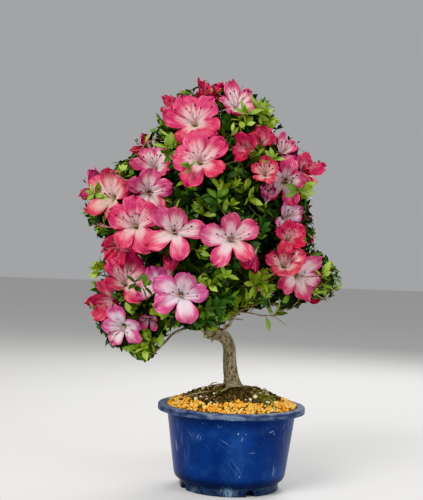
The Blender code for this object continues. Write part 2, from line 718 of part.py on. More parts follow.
def grow_mass(name, stem_foot, stem_way, stem_radius, blooms, shells, obstacles):
    """The pieces of one mass: a stem, twigs that each leave the nearest joint, leaves and blooms.

    A twig or leaf that would leave the space, or touch a limb, a bloom or another mass, is skipped.
    """
    _, middle, half, leafy, _ = MASSES[name]
    middle, half = np.array(middle), np.array(half)
    chance = random.Random(STREAM[name] + 1000)
    start = stem_foot + stem_way * GAP
    stem = [start, start + stem_way * STEM_STRAIGHT, start + STEM_SHARE * (middle - start)]
    pieces = [stick(stem, (stem_radius, stem_radius, TWIG_THICK))]
    trees = [tree_of(pieces[0])]
    joints = [(stem[1], 0, stem_radius)]
    joints += [(stem[1] + share * (stem[2] - stem[1]), 0, TWIG_THICK) for share in STEM_JOINTS]

    goals = [(bloom_foot(bloom), bloom[2], i) for i, bloom in enumerate(blooms) if bloom[0] == name]
    goals.sort(key=lambda entry: np.linalg.norm(entry[0] - stem[1]))
    sprays = []
    for way in golden_directions(leafy * GOALS_A_TIP, chance):
        goal = middle + way * (half - TWIG_SHORT)
        if in_space(name, goal):
            sprays.append((goal, way, None))
    made = 0
    leaves = 0
    for goal, way, number in goals + sprays:
        if number is None and made == leafy:
            break
        others = [tree for other, tree in shells.items() if other != number]
        bloom = None if number is None else blooms[number]
        length = chance.uniform(*LEAF_LENGTH)
        found = clear_twig(name, goal, way, bloom, length, joints, trees, obstacles + others)
        if not found:
            if bloom:
                print(name, "has no clear way to bloom", number)
            continue
        grown, points = found
        pieces.append(grown)
        trees.append(tree_of(grown))
        own = len(trees) - 1
        joints.append((points[0] + JOINT_SHARE * (points[1] - points[0]), own, TWIG_THICK))
        made += bloom is None
        leaves += bloom is None
        back, wanted = (LEAF_STEP, SIDE_LEAVES[0]) if bloom is None else (BLOOM_BARE, SIDE_LEAVES[1])
        turn = chance.uniform(0, math.tau)
        added = 0
        for _ in range(wanted + SPARE_TRIES):
            if added == wanted:
                break
            foot, heading = back_along(points, back)
            side, up = frame_along(heading)
            lean = math.radians(chance.uniform(*LEAF_LEAN) if bloom is None else LEAF_LEAN_BLOOM)
            out = math.cos(lean) * heading + math.sin(lean) * (math.cos(turn) * side + math.sin(turn) * up)
            roll = chance.uniform(-LEAF_ROLL, LEAF_ROLL)
            blade = leaf(foot - out * LEAF_SUNK, out, chance.uniform(*LEAF_LENGTH), roll)
            turn += GOLDEN_TURN
            back += LEAF_STEP
            rest = obstacles + list(shells.values()) + [t for other, t in enumerate(trees) if other != own]
            sits = in_space(name, blade[0], LEAF_SKIN) and touches(blade, [trees[own]])
            if sits and not touches(blade, rest):
                pieces.append(blade)
                trees.append(tree_of(blade))
                added += 1
        leaves += added
    print(name, len(pieces), "pieces,", leaves, "leaves,", len(goals), "blooms,", made, "of", leafy, "tips")
    return pieces


def fuse(name, pieces, group, material):
    """One Boolean union on a collection joins the pieces, and their objects are then removed.

    The EXACT solver leaves open edges where a bloom's twig meets two others in the top mass.
    """
    parts = new_collection(name + "_parts")
    parts.hide_render = True
    made = []
    for number, (points, faces) in enumerate(pieces):
        mesh = bpy.data.meshes.new("%s_%03d" % (name, number))
        mesh.from_pydata([tuple(point) for point in points], [], [tuple(face) for face in faces])
        form = bmesh.new()
        form.from_mesh(mesh)
        bmesh.ops.recalc_face_normals(form, faces=form.faces)
        form.to_mesh(mesh)
        form.free()
        made.append(new_object(mesh.name, mesh, parts if number else group))
    union = made[0].modifiers.new("fuse", "BOOLEAN")
    union.operation = "UNION"
    union.operand_type = "COLLECTION"
    union.collection = parts
    union.solver = "MANIFOLD"
    mass = settled(made[0], name, group)
    for piece in made[1:]:
        bpy.data.objects.remove(piece, do_unlink=True)
    bpy.data.collections.remove(parts)
    dropped = keep_main_body(mass.data)
    if dropped:
        print(name, "dropped", dropped, "loose or sealed shells")
    mass.data.materials.clear()
    mass.data.materials.append(material)
    return mass


def build():
    clear_scene()
    group = new_collection(NAME)
    cutters = new_collection("cutters")
    bark = plain_material("bark", (0.155, 0.125, 0.078), 0.90)
    plastic = plain_material("blue_plastic", (0.010, 0.036, 0.200), 0.45)
    earth = plain_material("soil", (0.320, 0.205, 0.060), 0.95)
    foliage = plain_material("foliage", (0.100, 0.210, 0.045), 0.55)

    make_pot(group, cutters, plastic)
    make_soil(group, earth)
    trunk = make_trunk(group, bark)
    routes = {"trunk": np.array([knot[:3] for knot in TRUNK])}
    thickness = {"trunk": [knot[3] for knot in TRUNK]}
    limbs = [trunk]
    routes["leader"] = smooth_route(LEADER, LEADER_POINTS)
    thickness["leader"] = list(np.linspace(*LEADER_RADII, LEADER_POINTS))
    limbs.append(grown_clear("leader", routes["leader"], thickness["leader"], routes["trunk"],
                             thickness["trunk"], group, cutters, bark))
    for name, (parent, share, tip, bow, foot, end) in BOUGHS.items():
        start = at(routes[parent], share)
        routes[name] = bowed(start, tip, bow, LIMB_POINTS)
        thickness[name] = list(np.linspace(foot, end, LIMB_POINTS))
        limbs.append(grown_clear(name, routes[name], thickness[name], routes[parent],
                                 thickness[parent], group, cutters, bark))

    woody = []
    for piece in limbs:
        form = bmesh.new()
        form.from_mesh(piece.data)
        woody.append(BVHTree.FromBMesh(form))
        form.free()
    blooms = all_blooms(woody)
    shells = {number: tree_of(shell_of(bloom)) for number, bloom in enumerate(blooms)}
    grown = {}
    for name, (carrier, _, _, _, _) in MASSES.items():
        route = routes[carrier]
        way = route[-1] - route[-2]
        way /= np.linalg.norm(way)
        foes = woody + [tree_of(merged(pieces)) for pieces in grown.values()]
        radius = thickness[carrier][-1]
        grown[name] = grow_mass(name, route[-1], way, radius, blooms, shells, foes)
    for name, pieces in grown.items():
        fuse(name, pieces, group, foliage)

    zero = bpy.data.objects.new("zero", None)
    group.objects.link(zero)
    zero.location = ZERO
    for item in list(group.objects) + list(cutters.objects):
        if item is not zero:
            item.parent = zero
    bpy.context.view_layer.update()
    report_box(group)


def merged(pieces):
    """Several pieces as one list of points and faces."""
    points = []
    faces = []
    for piece_points, piece_faces in pieces:
        first = len(points)
        points += list(piece_points)
        faces += [tuple(first + index for index in face) for face in piece_faces]
    return points, faces


def report_box(group):
    low = np.full(3, np.inf)
    high = np.full(3, -np.inf)
    total = 0
    for item in group.objects:
        if item.type != "MESH":
            continue
        corners = np.array([item.matrix_world @ vertex.co for vertex in item.data.vertices])
        low = np.minimum(low, corners.min(axis=0))
        high = np.maximum(high, corners.max(axis=0))
        faces = sum(len(face.vertices) - 2 for face in item.data.polygons)
        total += faces
        print(item.name, faces, "triangles")
    print("box", np.round(low, 4), np.round(high, 4), "middle", np.round((low + high) / 2, 4), total)


build()
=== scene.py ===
# %% [markdown]
# # An azalea bonsai in bloom
#
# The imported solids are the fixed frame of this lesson: a blue training pot, its soil, a leaning trunk, the
# boughs, and a closed mass of foliage at the end of each bough. Every step below takes one of them and
# makes the surface that the real plant shows, in the same place and at the same size.

# %% Load the solids and remember their box
import functools
import math

import bpy
import numpy as np
from mathutils import Matrix, Vector


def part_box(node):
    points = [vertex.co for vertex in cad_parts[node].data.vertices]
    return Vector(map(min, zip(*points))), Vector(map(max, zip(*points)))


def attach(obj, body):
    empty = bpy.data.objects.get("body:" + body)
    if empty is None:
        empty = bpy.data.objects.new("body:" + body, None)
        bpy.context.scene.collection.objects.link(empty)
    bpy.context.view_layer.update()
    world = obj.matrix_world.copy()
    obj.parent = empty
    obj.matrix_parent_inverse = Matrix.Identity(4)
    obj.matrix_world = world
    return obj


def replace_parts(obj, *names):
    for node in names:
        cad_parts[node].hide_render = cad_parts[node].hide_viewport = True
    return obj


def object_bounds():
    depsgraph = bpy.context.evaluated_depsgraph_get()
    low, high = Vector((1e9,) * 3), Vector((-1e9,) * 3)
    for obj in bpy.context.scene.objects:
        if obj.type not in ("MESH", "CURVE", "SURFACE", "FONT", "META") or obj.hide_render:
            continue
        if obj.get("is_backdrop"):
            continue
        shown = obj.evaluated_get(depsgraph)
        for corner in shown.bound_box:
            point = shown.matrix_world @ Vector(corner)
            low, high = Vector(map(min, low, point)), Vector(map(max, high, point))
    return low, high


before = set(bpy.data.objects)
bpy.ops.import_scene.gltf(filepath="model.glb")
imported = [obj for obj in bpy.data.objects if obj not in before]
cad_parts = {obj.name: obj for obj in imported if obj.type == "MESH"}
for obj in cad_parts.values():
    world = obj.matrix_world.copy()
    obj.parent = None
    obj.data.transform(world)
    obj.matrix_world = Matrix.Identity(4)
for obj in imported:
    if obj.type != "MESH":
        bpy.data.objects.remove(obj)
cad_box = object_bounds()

# Whole numbers in the tables are these parts of a metre, or of one.
TENTHS, MILLIMETRES, HUNDREDTHS, THOUSANDTHS = 10000, 1000, 100, 1000
GOLDEN_TURN = 2.39996
pot_low, pot_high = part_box("pot")
ZERO = np.array([(pot_low.x + pot_high.x) / 2, (pot_low.y + pot_high.y) / 2, 0])
print("the pot's axis stands at", np.round(ZERO, 4))

# %% [markdown]
# ## The camera, the floor and the light
#
# The plant is seen a little from below its crown's middle, and the picture hangs two degrees off level,
# so the camera is given its three directions instead of being aimed. A product photographer would light
# such a plant with large soft sources: one in front on the left, one on the right and one behind.

# %% Set up the camera
EYE = np.array([-0.031, -1.23, 0.272]) + ZERO
AIM = np.array([-0.031, 0, 0.2885]) + ZERO
ROLL = math.radians(2)
LENS, SENSOR = 72, 36
norm = np.linalg.norm


def unit(vector):
    """The vector at a length of one."""
    return vector / norm(vector)


ahead = unit(AIM - EYE)
level = unit(np.cross(ahead, (0, 0, 1)))
above = np.cross(level, ahead)
to_right = math.cos(ROLL) * level + math.sin(ROLL) * above
to_top = math.cos(ROLL) * above - math.sin(ROLL) * level
camera = bpy.data.objects.new("camera", bpy.data.cameras.new("camera"))
bpy.context.scene.collection.objects.link(camera)
camera.data.lens = LENS
camera.data.sensor_width = SENSOR
camera.matrix_world = Matrix(
    [[to_right[i], to_top[i], -ahead[i], EYE[i]] for i in range(3)] + [[0, 0, 0, 1]]
)
bpy.context.scene.camera = camera
print("the camera stands", round(float(norm(AIM - EYE)), 3), "m from the plant")

# %% Put three soft lights round the plant and a pale sky over it
LIGHTS = {
    "key": ((-0.9, -1.3, 1.35), 1, 30, (1, 0.985, 0.96)),
    "fill": ((1.2, -1, 0.75), 1, 9, (0.96, 0.98, 1)),
    "back": ((0.5, 1.2, 1.3), 0.9, 16, (1, 1, 1)),
}
for name, (place, size, power, colour) in LIGHTS.items():
    lamp = bpy.data.lights.new(name, "AREA")
    lamp.size = size
    lamp.energy = power
    lamp.color = colour
    stand = bpy.data.objects.new(name, lamp)
    stand.location = Vector(place) + Vector(ZERO)
    aim = Vector((0, 0, 0.28)) + Vector(ZERO) - stand.location
    stand.rotation_euler = aim.to_track_quat("-Z", "Y").to_euler()
    bpy.context.scene.collection.objects.link(stand)
print(len(LIGHTS), "soft lights")

sky = bpy.data.worlds.new("pale_sky")
sky.use_nodes = True
sky.node_tree.nodes["Background"].inputs["Color"].default_value = (0.9, 0.91, 0.93, 1)
sky.node_tree.nodes["Background"].inputs["Strength"].default_value = 0.45
bpy.context.scene.world = sky
bpy.context.scene.view_settings.view_transform = "Khronos PBR Neutral"

# %% [markdown]
# ## Helpers for surfaces and for materials
#
# Most shapes here are a grid of points worked out as whole arrays. A few helpers turn a grid into triangles
# and into an object that rides on the plant's one body. Others wire up material nodes, so that each finish
# later reads as a short recipe.

# %% From arrays to a piece of the plant
def grid_faces(rows, columns, closed=False):
    """Two triangles for each cell of a grid kept row by row. closed joins the last column to the first."""
    across = columns if closed else columns - 1
    row, column = np.meshgrid(np.arange(rows - 1), np.arange(across), indexing="ij")
    here = row * columns + column
    right = row * columns + (column + 1) % columns
    cells = np.stack([here, right, right + columns, here, right + columns, here + columns], axis=-1)
    return cells.reshape(-1, 3)


def stacked(*columns):
    """Arrays side by side along a new last axis."""
    return np.stack(columns, axis=-1)


def joined(parts):
    """Several (points, faces, uv) as one, each part's faces counted on from the parts before it."""
    firsts = np.cumsum([0] + [len(part[0]) for part in parts[:-1]])
    points = np.concatenate([part[0] for part in parts])
    faces = np.concatenate([part[1] + first for part, first in zip(parts, firsts)])
    uv = np.concatenate([part[2] for part in parts])
    return points, faces, uv


def moved(shape, step):
    """A shape carried along by a step."""
    points, faces, uv = shape
    return points + step, faces, uv


def piece(name, shape, material, slot, keep_uv=False, **values):
    """A smooth mesh at the origin that rides on the plant. Each of the values holds one number a point."""
    points, faces, uv = shape
    mesh = bpy.data.meshes.new(name)
    mesh.vertices.add(len(points))
    mesh.vertices.foreach_set("co", np.ascontiguousarray(points, np.float32).ravel())
    mesh.loops.add(faces.size)
    mesh.loops.foreach_set("vertex_index", np.ascontiguousarray(faces, np.int32).ravel())
    mesh.polygons.add(len(faces))
    mesh.polygons.foreach_set("loop_start", np.arange(len(faces), dtype=np.int32) * 3)
    mesh.update(calc_edges=True)
    mesh.polygons.foreach_set("use_smooth", np.ones(len(faces), bool))
    if keep_uv:
        layer = mesh.uv_layers.new(name="OFBake")
        layer.data.foreach_set("uv", np.ascontiguousarray(uv[faces.ravel()], np.float32).ravel())
    for label, numbers in values.items():
        mesh.attributes.new(label, "FLOAT", "POINT").data.foreach_set("value", numbers.astype(np.float32))
    mesh.validate()
    mesh.materials.append(material)
    made = bpy.data.objects.new(name, mesh)
    bpy.context.scene.collection.objects.link(made)
    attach(made, "root")
    print(name, len(mesh.polygons), "triangles")
    return made

# %% Noise worked out as arrays
seeded = np.random.default_rng


def soft_noise(x, y, seed, around=256):
    """Noise from -1 to 1: random heights on whole numbers, blended smoothly. x repeats after around."""
    heights = seeded(seed).uniform(-1, 1, (around, 256))
    x0, y0 = np.floor(x).astype(int), np.floor(y).astype(int)
    fx, fy = x - x0, y - y0
    fx, fy = fx * fx * (3 - 2 * fx), fy * fy * (3 - 2 * fy)
    near = heights[x0 % around, y0 % 256] * (1 - fx) + heights[(x0 + 1) % around, y0 % 256] * fx
    far = heights[x0 % around, (y0 + 1) % 256] * (1 - fx) + heights[(x0 + 1) % around, (y0 + 1) % 256] * fx
    return near * (1 - fy) + far * fy

# %% Wiring nodes
def put(node, label, value):
    """A node's input gets a plain value, or a link from another node's output."""
    if isinstance(value, bpy.types.NodeSocket):
        node.id_data.links.new(value, node.inputs[label])
    else:
        node.inputs[label].default_value = value


def add(beside, kind, inputs=None, **settings):
    """A node in the same tree as the one beside it, with its settings and its inputs."""
    made = beside.id_data.nodes.new("ShaderNode" + kind)
    for label, value in settings.items():
        setattr(made, label, value)
    for label, value in (inputs or {}).items():
        put(made, label, value)
    return made


def output_among(values):
    """The first of the values that is another node's output."""
    return next(value for value in values if isinstance(value, bpy.types.NodeSocket))


def calc(operation, *values, kind="Math"):
    """A Math node or a Vector Math node on outputs and plain values."""
    return add(output_among(values), kind, dict(enumerate(values)), operation=operation).outputs[0]


OPERATIONS = ("ADD", "SUBTRACT", "MULTIPLY", "DIVIDE", "POWER", "MAXIMUM", "MULTIPLY_ADD")
plus, minus, times, over, power, most, times_plus = (functools.partial(calc, name) for name in OPERATIONS)
vectors = functools.partial(calc, kind="VectorMath")


def xyz(vector):
    """The three numbers of a vector, by the names X, Y and Z."""
    return add(vector, "SeparateXYZ", {"Vector": vector}).outputs

# %% The words that every finish is written in
def finish_of(name, roughness, colour=(0.5, 0.5, 0.5)):
    """A material with one Principled surface. Returns the material and that surface."""
    material = bpy.data.materials.new(name)
    material.use_nodes = True
    surface = material.node_tree.nodes["Principled BSDF"]
    put(surface, "Base Color", (*colour, 1))
    put(surface, "Roughness", roughness)
    return material, surface


def ramp(value, *stops):
    """A colour ramp with (place, colour) stops."""
    made = add(value, "ValToRGB", {"Fac": value})
    marks = made.color_ramp.elements
    while len(marks) < len(stops):
        marks.new(0.5)
    for mark, (place, colour) in zip(marks, stops):
        mark.position = place
        mark.color = (*colour, 1)
    return made.outputs["Color"]


def mask(value, low, high):
    """0 below low and 1 above high, eased between them. low may be the larger one."""
    inputs = {"Value": value, "From Min": min(low, high), "From Max": max(low, high),
              "To Min": float(low > high), "To Max": float(low < high)}
    made = add(value, "MapRange", inputs, interpolation_type="SMOOTHSTEP", clamp=True)
    return made.outputs["Result"]


def blend(share, first, second):
    """Two colours mixed by a share."""
    made = add(output_among((share, first, second)), "Mix", {0: share}, data_type="RGBA")
    for index, colour in ((6, first), (7, second)):
        put(made, index, colour if isinstance(colour, bpy.types.NodeSocket) else (*colour, 1))
    return made.outputs[2]


def noise(where, scale, detail=3, roughness=0.55):
    """Soft noise from 0 to 1 over a place."""
    inputs = {"Vector": where, "Scale": scale, "Detail": detail, "Roughness": roughness}
    return add(where, "TexNoise", inputs).outputs["Fac"]


def placed(surface, scale=(1, 1, 1)):
    """Object coordinates measured from the pot's axis and stretched."""
    where = add(surface, "TexCoord").outputs["Object"]
    inputs = {"Vector": vectors("ADD", where, tuple(-ZERO)), "Scale": scale}
    return add(surface, "Mapping", inputs).outputs["Vector"]


def bump(surface, height, strength, distance):
    """The surface's normal follows a height."""
    made = add(surface, "Bump", {"Height": height, "Strength": strength, "Distance": distance})
    put(surface, "Normal", made.outputs["Normal"])

# %% Lay the floor
floor_material, _ = finish_of("pale_floor", 0.85, (0.8, 0.79, 0.77))
FLOOR_HALF, FLOOR_DROP = 12.0, 0.0002
corners = [(x * FLOOR_HALF, y * FLOOR_HALF, 0.0) for x, y in ((-1, -1), (1, -1), (1, 1), (-1, 1))]
floor = bpy.data.objects.new("floor", bpy.data.meshes.new("floor"))
floor.data.from_pydata(corners, [], [(0, 1, 2, 3)])
floor.data.materials.append(floor_material)
floor.location.z = -FLOOR_DROP
bpy.context.scene.collection.objects.link(floor)
floor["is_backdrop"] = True
print("the floor is", 2 * FLOOR_HALF, "m wide")

# %% [markdown]
# ## The plant's own measures
#
# The frame's solids follow a few named sizes, and the fine surfaces need the same ones: where the trunk
# bends, where each bough ends, the space that each mass keeps to, and the blooms of the show side. All are
# measured from the pot's axis.

# %% The woody skeleton
# The trunk: across, towards the back, up and radius, in tenths of a millimetre. The leader has no radii here.
TRUNK = np.array([
    (0, 0, 1195, 136), (0, 0, 1255, 110), (-10, 0, 1310, 97), (-25, 0, 1410, 83), (-40, 10, 1550, 79),
    (-48, 10, 1670, 77), (-70, 10, 1755, 76), (-120, 0, 1818, 75), (-190, -10, 1850, 72),
    (-275, -20, 1850, 62),
]) / TENTHS
LEADER = np.array([
    (-215, 0, 1850), (-235, 100, 1975), (-130, 150, 2060), (0, 140, 2170), (60, 100, 2450), (-40, 40, 2850),
    (-200, 20, 3250), (-270, 0, 3650), (-280, 0, 4060),
]) / TENTHS
LEADER_RADII = (0.0058, 0.0024)
LEADER_POINTS = 13
LIMB_POINTS = 5
# Each bough: what it grows from, the share of the way along that, its tip, its bow and the radii at its ends.
BOUGHS = {
    "bough_low_left": ("trunk", 0.98, (-840, -140, 2070), 40, 50, 30),
    "bough_droop_left": ("bough_low_left", 0.34, (-880, -300, 1700), 60, 20, 12),
    "bough_low_front": ("trunk", 0.86, (-360, -500, 2160), 40, 30, 20),
    "bough_low_middle": ("trunk", 0.8, (-10, -200, 2100), 10, 26, 16),
    "bough_low_right": ("leader", 0.36, (530, -60, 2240), -40, 30, 20),
    "bough_back_low": ("leader", 0.22, (-220, 460, 2260), 30, 32, 22),
    "bough_mid_left": ("leader", 0.6, (-940, -120, 3120), 60, 36, 22),
    "bough_mid_front": ("leader", 0.66, (-320, -560, 3060), 40, 30, 20),
    "bough_mid_right": ("leader", 0.64, (300, -80, 3120), 30, 30, 20),
    "bough_back_left": ("leader", 0.68, (-700, 460, 3100), 40, 34, 22),
    "bough_back_right": ("leader", 0.56, (240, 480, 3020), 40, 34, 22),
    "bough_upper_left": ("leader", 0.84, (-700, -140, 3840), 30, 26, 18),
    "bough_upper_front": ("leader", 0.88, (-300, -480, 3780), 20, 24, 17),
    "bough_upper_right": ("leader", 0.8, (240, -100, 3720), 30, 26, 18),
    "bough_back_upper": ("leader", 0.9, (-260, 400, 3920), 20, 26, 18),
}
BOUGHS = {
    name: (parent, share, *(np.array(measure) / TENTHS for measure in measures))
    for name, (parent, share, *measures) in BOUGHS.items()
}
print(len(TRUNK), "knots in the trunk and", len(LEADER), "in the leader")

# %% The masses and the blooms
# Each mass: its space's middle and its half sizes, in millimetres. The bough of the same name carries it, and
# the leader carries the top one.
MASSES = {
    "low_left": (-125, -22, 218, 58, 66, 60), "droop_left": (-104, -28, 155, 26, 24, 19),
    "low_front": (-50, -85, 236, 56, 55, 52), "low_middle": (10, -38, 222, 42, 38, 30),
    "low_right": (84, -14, 249, 50, 62, 48), "mid_left": (-135, -20, 333, 62, 68, 55),
    "mid_front": (-36, -90, 312, 70, 56, 52), "mid_right": (50, -20, 324, 48, 62, 50),
    "upper_left": (-98, -28, 402, 56, 62, 44), "upper_front": (-32, -80, 388, 58, 52, 46),
    "upper_right": (52, -18, 386, 46, 60, 46), "top": (-35, -5, 447, 74, 70, 48),
    "back_low": (-22, 80, 240, 80, 62, 52), "back_left": (-98, 75, 325, 66, 64, 62),
    "back_right": (38, 80, 322, 62, 62, 60), "back_upper": (-26, 68, 408, 68, 60, 52),
}
MASSES = {"mass_" + name: np.array(row).reshape(2, 3) / MILLIMETRES for name, row in MASSES.items()}
# Each mass's blooms: the middle of the face, its turn to the right and tilt upwards in degrees, the width,
# openness, colouring and roll. Lengths are in tenths of a millimetre and the openness is in hundredths.
BLOOMS = (
    ("top", (-563, -757, 4405, -5, 24, 710, 100, "rose", -28),
     (-45, -429, 4661, 16, 34, 580, 85, "blush", -20), (-445, -310, 4705, 5, 56, 580, 45, "crimson", 10),
     (-780, -320, 4575, -36, 34, 510, 80, "crimson", 0)),
    ("upper_front", (-453, -1244, 3874, 5, 8, 700, 100, "rose", -17),
     (46, -783, 4058, -38, 6, 540, 70, "crimson", -12)),
    ("upper_right", (246, -647, 4186, 6, 26, 500, 60, "crimson", 15),
     (514, -476, 4101, 34, 30, 520, 75, "blush", 0), (509, -696, 3708, -8, -4, 650, 95, "blush", 12),
     (805, -392, 3888, 46, 18, 520, 80, "crimson", 30), (270, -852, 3790, -5, 14, 500, 55, "salmon", 0)),
    ("mid_right", (305, -767, 3511, 4, 44, 440, 35, "pale", 0),
     (572, -569, 3312, 30, 10, 540, 85, "pale", 20), (601, -673, 3065, 16, 20, 540, 70, "crimson", -15)),
    ("low_right", (536, -781, 2771, 0, 26, 600, 80, "salmon", -8),
     (785, -560, 2605, 30, -4, 660, 92, "blush", 34)),
    ("mid_front", (-82, -1286, 2999, 5, 0, 710, 100, "blush", -6),
     (160, -1013, 2810, -24, -44, 540, 40, "rose", 20), (-734, -1285, 3059, -3, 0, 700, 100, "blush", 20),
     (-764, -1119, 2652, 4, 74, 460, 15, "rose", 0)),
    ("mid_left", (-1200, -1069, 3143, -8, 10, 680, 100, "rose", -3),
     (-1393, -717, 2863, -26, -36, 520, 80, "crimson", 20)),
    ("upper_left", (-1060, -940, 3498, -4, -4, 640, 90, "blush", 0),
     (-1021, -661, 3857, -10, 20, 580, 85, "blush", -30)),
    ("mid_left", (-1560, -546, 3472, -30, 4, 660, 100, "salmon", 8)),
    ("low_left", (-1294, -776, 2512, 4, 24, 700, 90, "rose", 15),
     (-1525, -460, 2200, -42, -22, 580, 85, "crimson", 0),
     (-899, -941, 2456, -10, 10, 560, 85, "pale", 30)),
    ("low_front", (-635, -1255, 2352, 0, -3, 690, 98, "pale", 18)),
    ("low_left", (-1334, -656, 1902, -15, -26, 580, 85, "pale", -8),
     (-1000, -659, 2035, 0, -10, 400, 50, "pale", 0)),
)
# The leaves' five greens, from lit to shaded: the leaves' own greens with painted light and shade laid over
# them.
GREENS_BY_LIGHT = ("bright", "fresh", "mid", "deep", "dark")
SEEDED_COLOURINGS = ("rose", "crimson", "blush", "rose", "crimson", "salmon", "pale")
# The crown's outline as the show side has it, on the upright plane through the pot's axis: across, up.
OUTLINE = np.array([
    (-410, 5000), (95, 4980), (330, 4820), (570, 4410), (760, 4190), (995, 3790), (900, 3435), (1020, 3010),
    (1190, 2790), (1330, 2640), (1300, 2460), (1160, 2320), (950, 2330), (780, 2200), (580, 2160),
    (195, 2160), (-70, 2050), (-210, 1890), (-480, 1880), (-720, 1890), (-900, 1630), (-1040, 1470),
    (-1350, 1580), (-1540, 1630), (-1740, 2010), (-1840, 2290), (-1800, 2480), (-1900, 2620), (-1800, 2730),
    (-1620, 2795), (-1720, 3010), (-1960, 3300), (-1960, 3580), (-1780, 3810), (-1530, 3960), (-1380, 3980),
    (-1030, 4410), (-1090, 4630), (-960, 4760), (-700, 4870), (-540, 4960),
]) / TENTHS


def by_mass(table):
    """Each row of a table with the name of the mass that it stands under."""
    return [("mass_" + name, row) for name, *rows in table for row in rows]


STREAM = {name: 11 + 7 * number for number, name in enumerate(MASSES)}
print(len(BOUGHS), "boughs,", len(MASSES), "masses,", len(by_mass(BLOOMS)), "blooms on the show side")

# %% Routes through the skeleton
def smooth_route(knots, count):
    """Points on a Catmull-Rom curve through the knots, evenly spaced by length. Any extra columns follow."""
    knots = np.asarray(knots, float)
    padded = np.vstack([2 * knots[0] - knots[1], knots, 2 * knots[-1] - knots[-2]])
    t = np.linspace(0, 1, 12, endpoint=False)[:, None]
    fine = []
    for before, a, b, after in zip(padded[:-3], padded[1:-2], padded[2:-1], padded[3:]):
        slope, pull = b - before, 2 * before - 5 * a + 4 * b - after
        fine.append(0.5 * (2 * a + slope * t + pull * t**2 + (3 * a - before - 3 * b + after) * t**3))
    fine = np.vstack(fine + [knots[-1:]])
    steps = norm(np.diff(fine[:, :3], axis=0), axis=1)
    along = np.concatenate([[0], np.cumsum(steps)])
    wanted = np.linspace(0, along[-1], count)
    return np.column_stack([np.interp(wanted, along, column) for column in fine.T])


def at(route, share):
    """The point this share of the way along a route, counted in its points."""
    place = share * (len(route) - 1)
    low = min(int(place), len(route) - 2)
    return route[low] + (place - low) * (route[low + 1] - route[low])


def bowed(start, tip, bow, count):
    """Points from start to tip that rise above the straight line by the bow at the middle."""
    t = np.linspace(0, 1, count)[:, None]
    return (1 - t) * np.array(start) + t * np.array(tip) + 4 * t * (1 - t) * np.array([0, 0, bow])


routes = {"trunk": TRUNK[:, :3], "leader": smooth_route(LEADER, LEADER_POINTS)}
for name, (parent, share, tip, bow, foot, end) in BOUGHS.items():
    routes[name] = bowed(at(routes[parent], share), tip, bow, LIMB_POINTS)
print("limb ends at", {name: np.round(route[-1], 3).tolist() for name, route in list(routes.items())[:3]})

# %% [markdown]
# ## Rings
#
# A thrown or moulded pot, a trunk and a petal's stalk are all a closed line carried along a path. The next
# helpers close rings of points into a solid, and set rings square to any route without a twist.

# %% Rings into a solid, and rings along a route
def closed_rings(rings):
    """Rings, counted up along their axis, joined side by side, with a fan to a middle point at each end."""
    rows, columns = rings.shape[:2]
    points = np.concatenate([rings.reshape(-1, 3), rings[:1].mean(axis=1), rings[-1:].mean(axis=1)])
    column = np.arange(columns)
    following = (column + 1) % columns
    foot = np.stack([following, column, np.full(columns, rows * columns)], axis=1)
    last = (rows - 1) * columns
    end = np.stack([last + column, last + following, np.full(columns, rows * columns + 1)], axis=1)
    faces = np.concatenate([grid_faces(rows, columns, closed=True), foot, end])
    along, around = np.meshgrid(np.linspace(0, 1, rows), column / columns, indexing="ij")
    uv = np.stack([around.ravel(), along.ravel()], axis=1)
    return points, faces, np.concatenate([uv, [[0.5, 0], [0.5, 1]]])


def along_route(route):
    """Headings along a route and two directions square to each, carried on without a twist."""
    headings = np.gradient(route, axis=0)
    headings /= norm(headings, axis=1, keepdims=True)
    side = np.cross(headings[0], (0, 1, 0) if abs(headings[0][1]) < 0.9 else (0, 0, 1))
    sides = []
    for heading in headings:
        side = unit(side - heading * side.dot(heading))
        sides.append(side)
    sides = np.array(sides)
    return headings, sides, np.cross(headings, sides)


def tube(route, radii, around, swell=None):
    """A closed tube: circles of the radii, each point's radius multiplied by swell(turn, distance)."""
    route = np.asarray(route, float)
    _, sides, ups = along_route(route)
    turn = np.linspace(0, math.tau, around, endpoint=False)
    steps = norm(np.diff(route, axis=0), axis=1)
    distance = np.concatenate([[0], np.cumsum(steps)])
    grid_turn, grid_distance = np.meshgrid(turn, distance)
    factor = 1 if swell is None else swell(grid_turn, grid_distance)
    reach = (np.asarray(radii)[:, None] * factor)[..., None]
    out = np.cos(turn)[None, :, None] * sides[:, None] + np.sin(turn)[None, :, None] * ups[:, None]
    return closed_rings(route[:, None] + reach * out)


def strewn(template, turns, places):
    """A template (points, faces, uv) set down once for each 3 x 3 turn, scale included, and place."""
    points, faces, uv = template
    spots = np.einsum("nij,vj->nvi", turns, points) + places[:, None, :]
    counted = faces[None] + (np.arange(len(places)) * len(points))[:, None, None]
    return spots.reshape(-1, 3), counted.reshape(-1, 3), np.tile(uv, (len(places), 1))


def any_turns(count, chance):
    """As many random turns, each from a random unit quaternion."""
    quaternions = chance.normal(size=(4, count))
    w, x, y, z = quaternions / norm(quaternions, axis=0)
    return np.stack([
        stacked(1 - 2 * (y * y + z * z), 2 * (x * y - z * w), 2 * (x * z + y * w)),
        stacked(2 * (x * y + z * w), 1 - 2 * (x * x + z * z), 2 * (y * z - x * w)),
        stacked(2 * (x * z - y * w), 2 * (y * z + x * w), 1 - 2 * (x * x + y * y)),
    ], axis=1)

# %% [markdown]
# ## The pot
#
# An injection-moulded training pot: a thick rolled rim, a body that narrows evenly, a step, and a foot ring
# with four drain notches. It is turned as one profile, eased at every corner as a mould is, and the foot's
# lower edge is lifted into an arch at each notch.

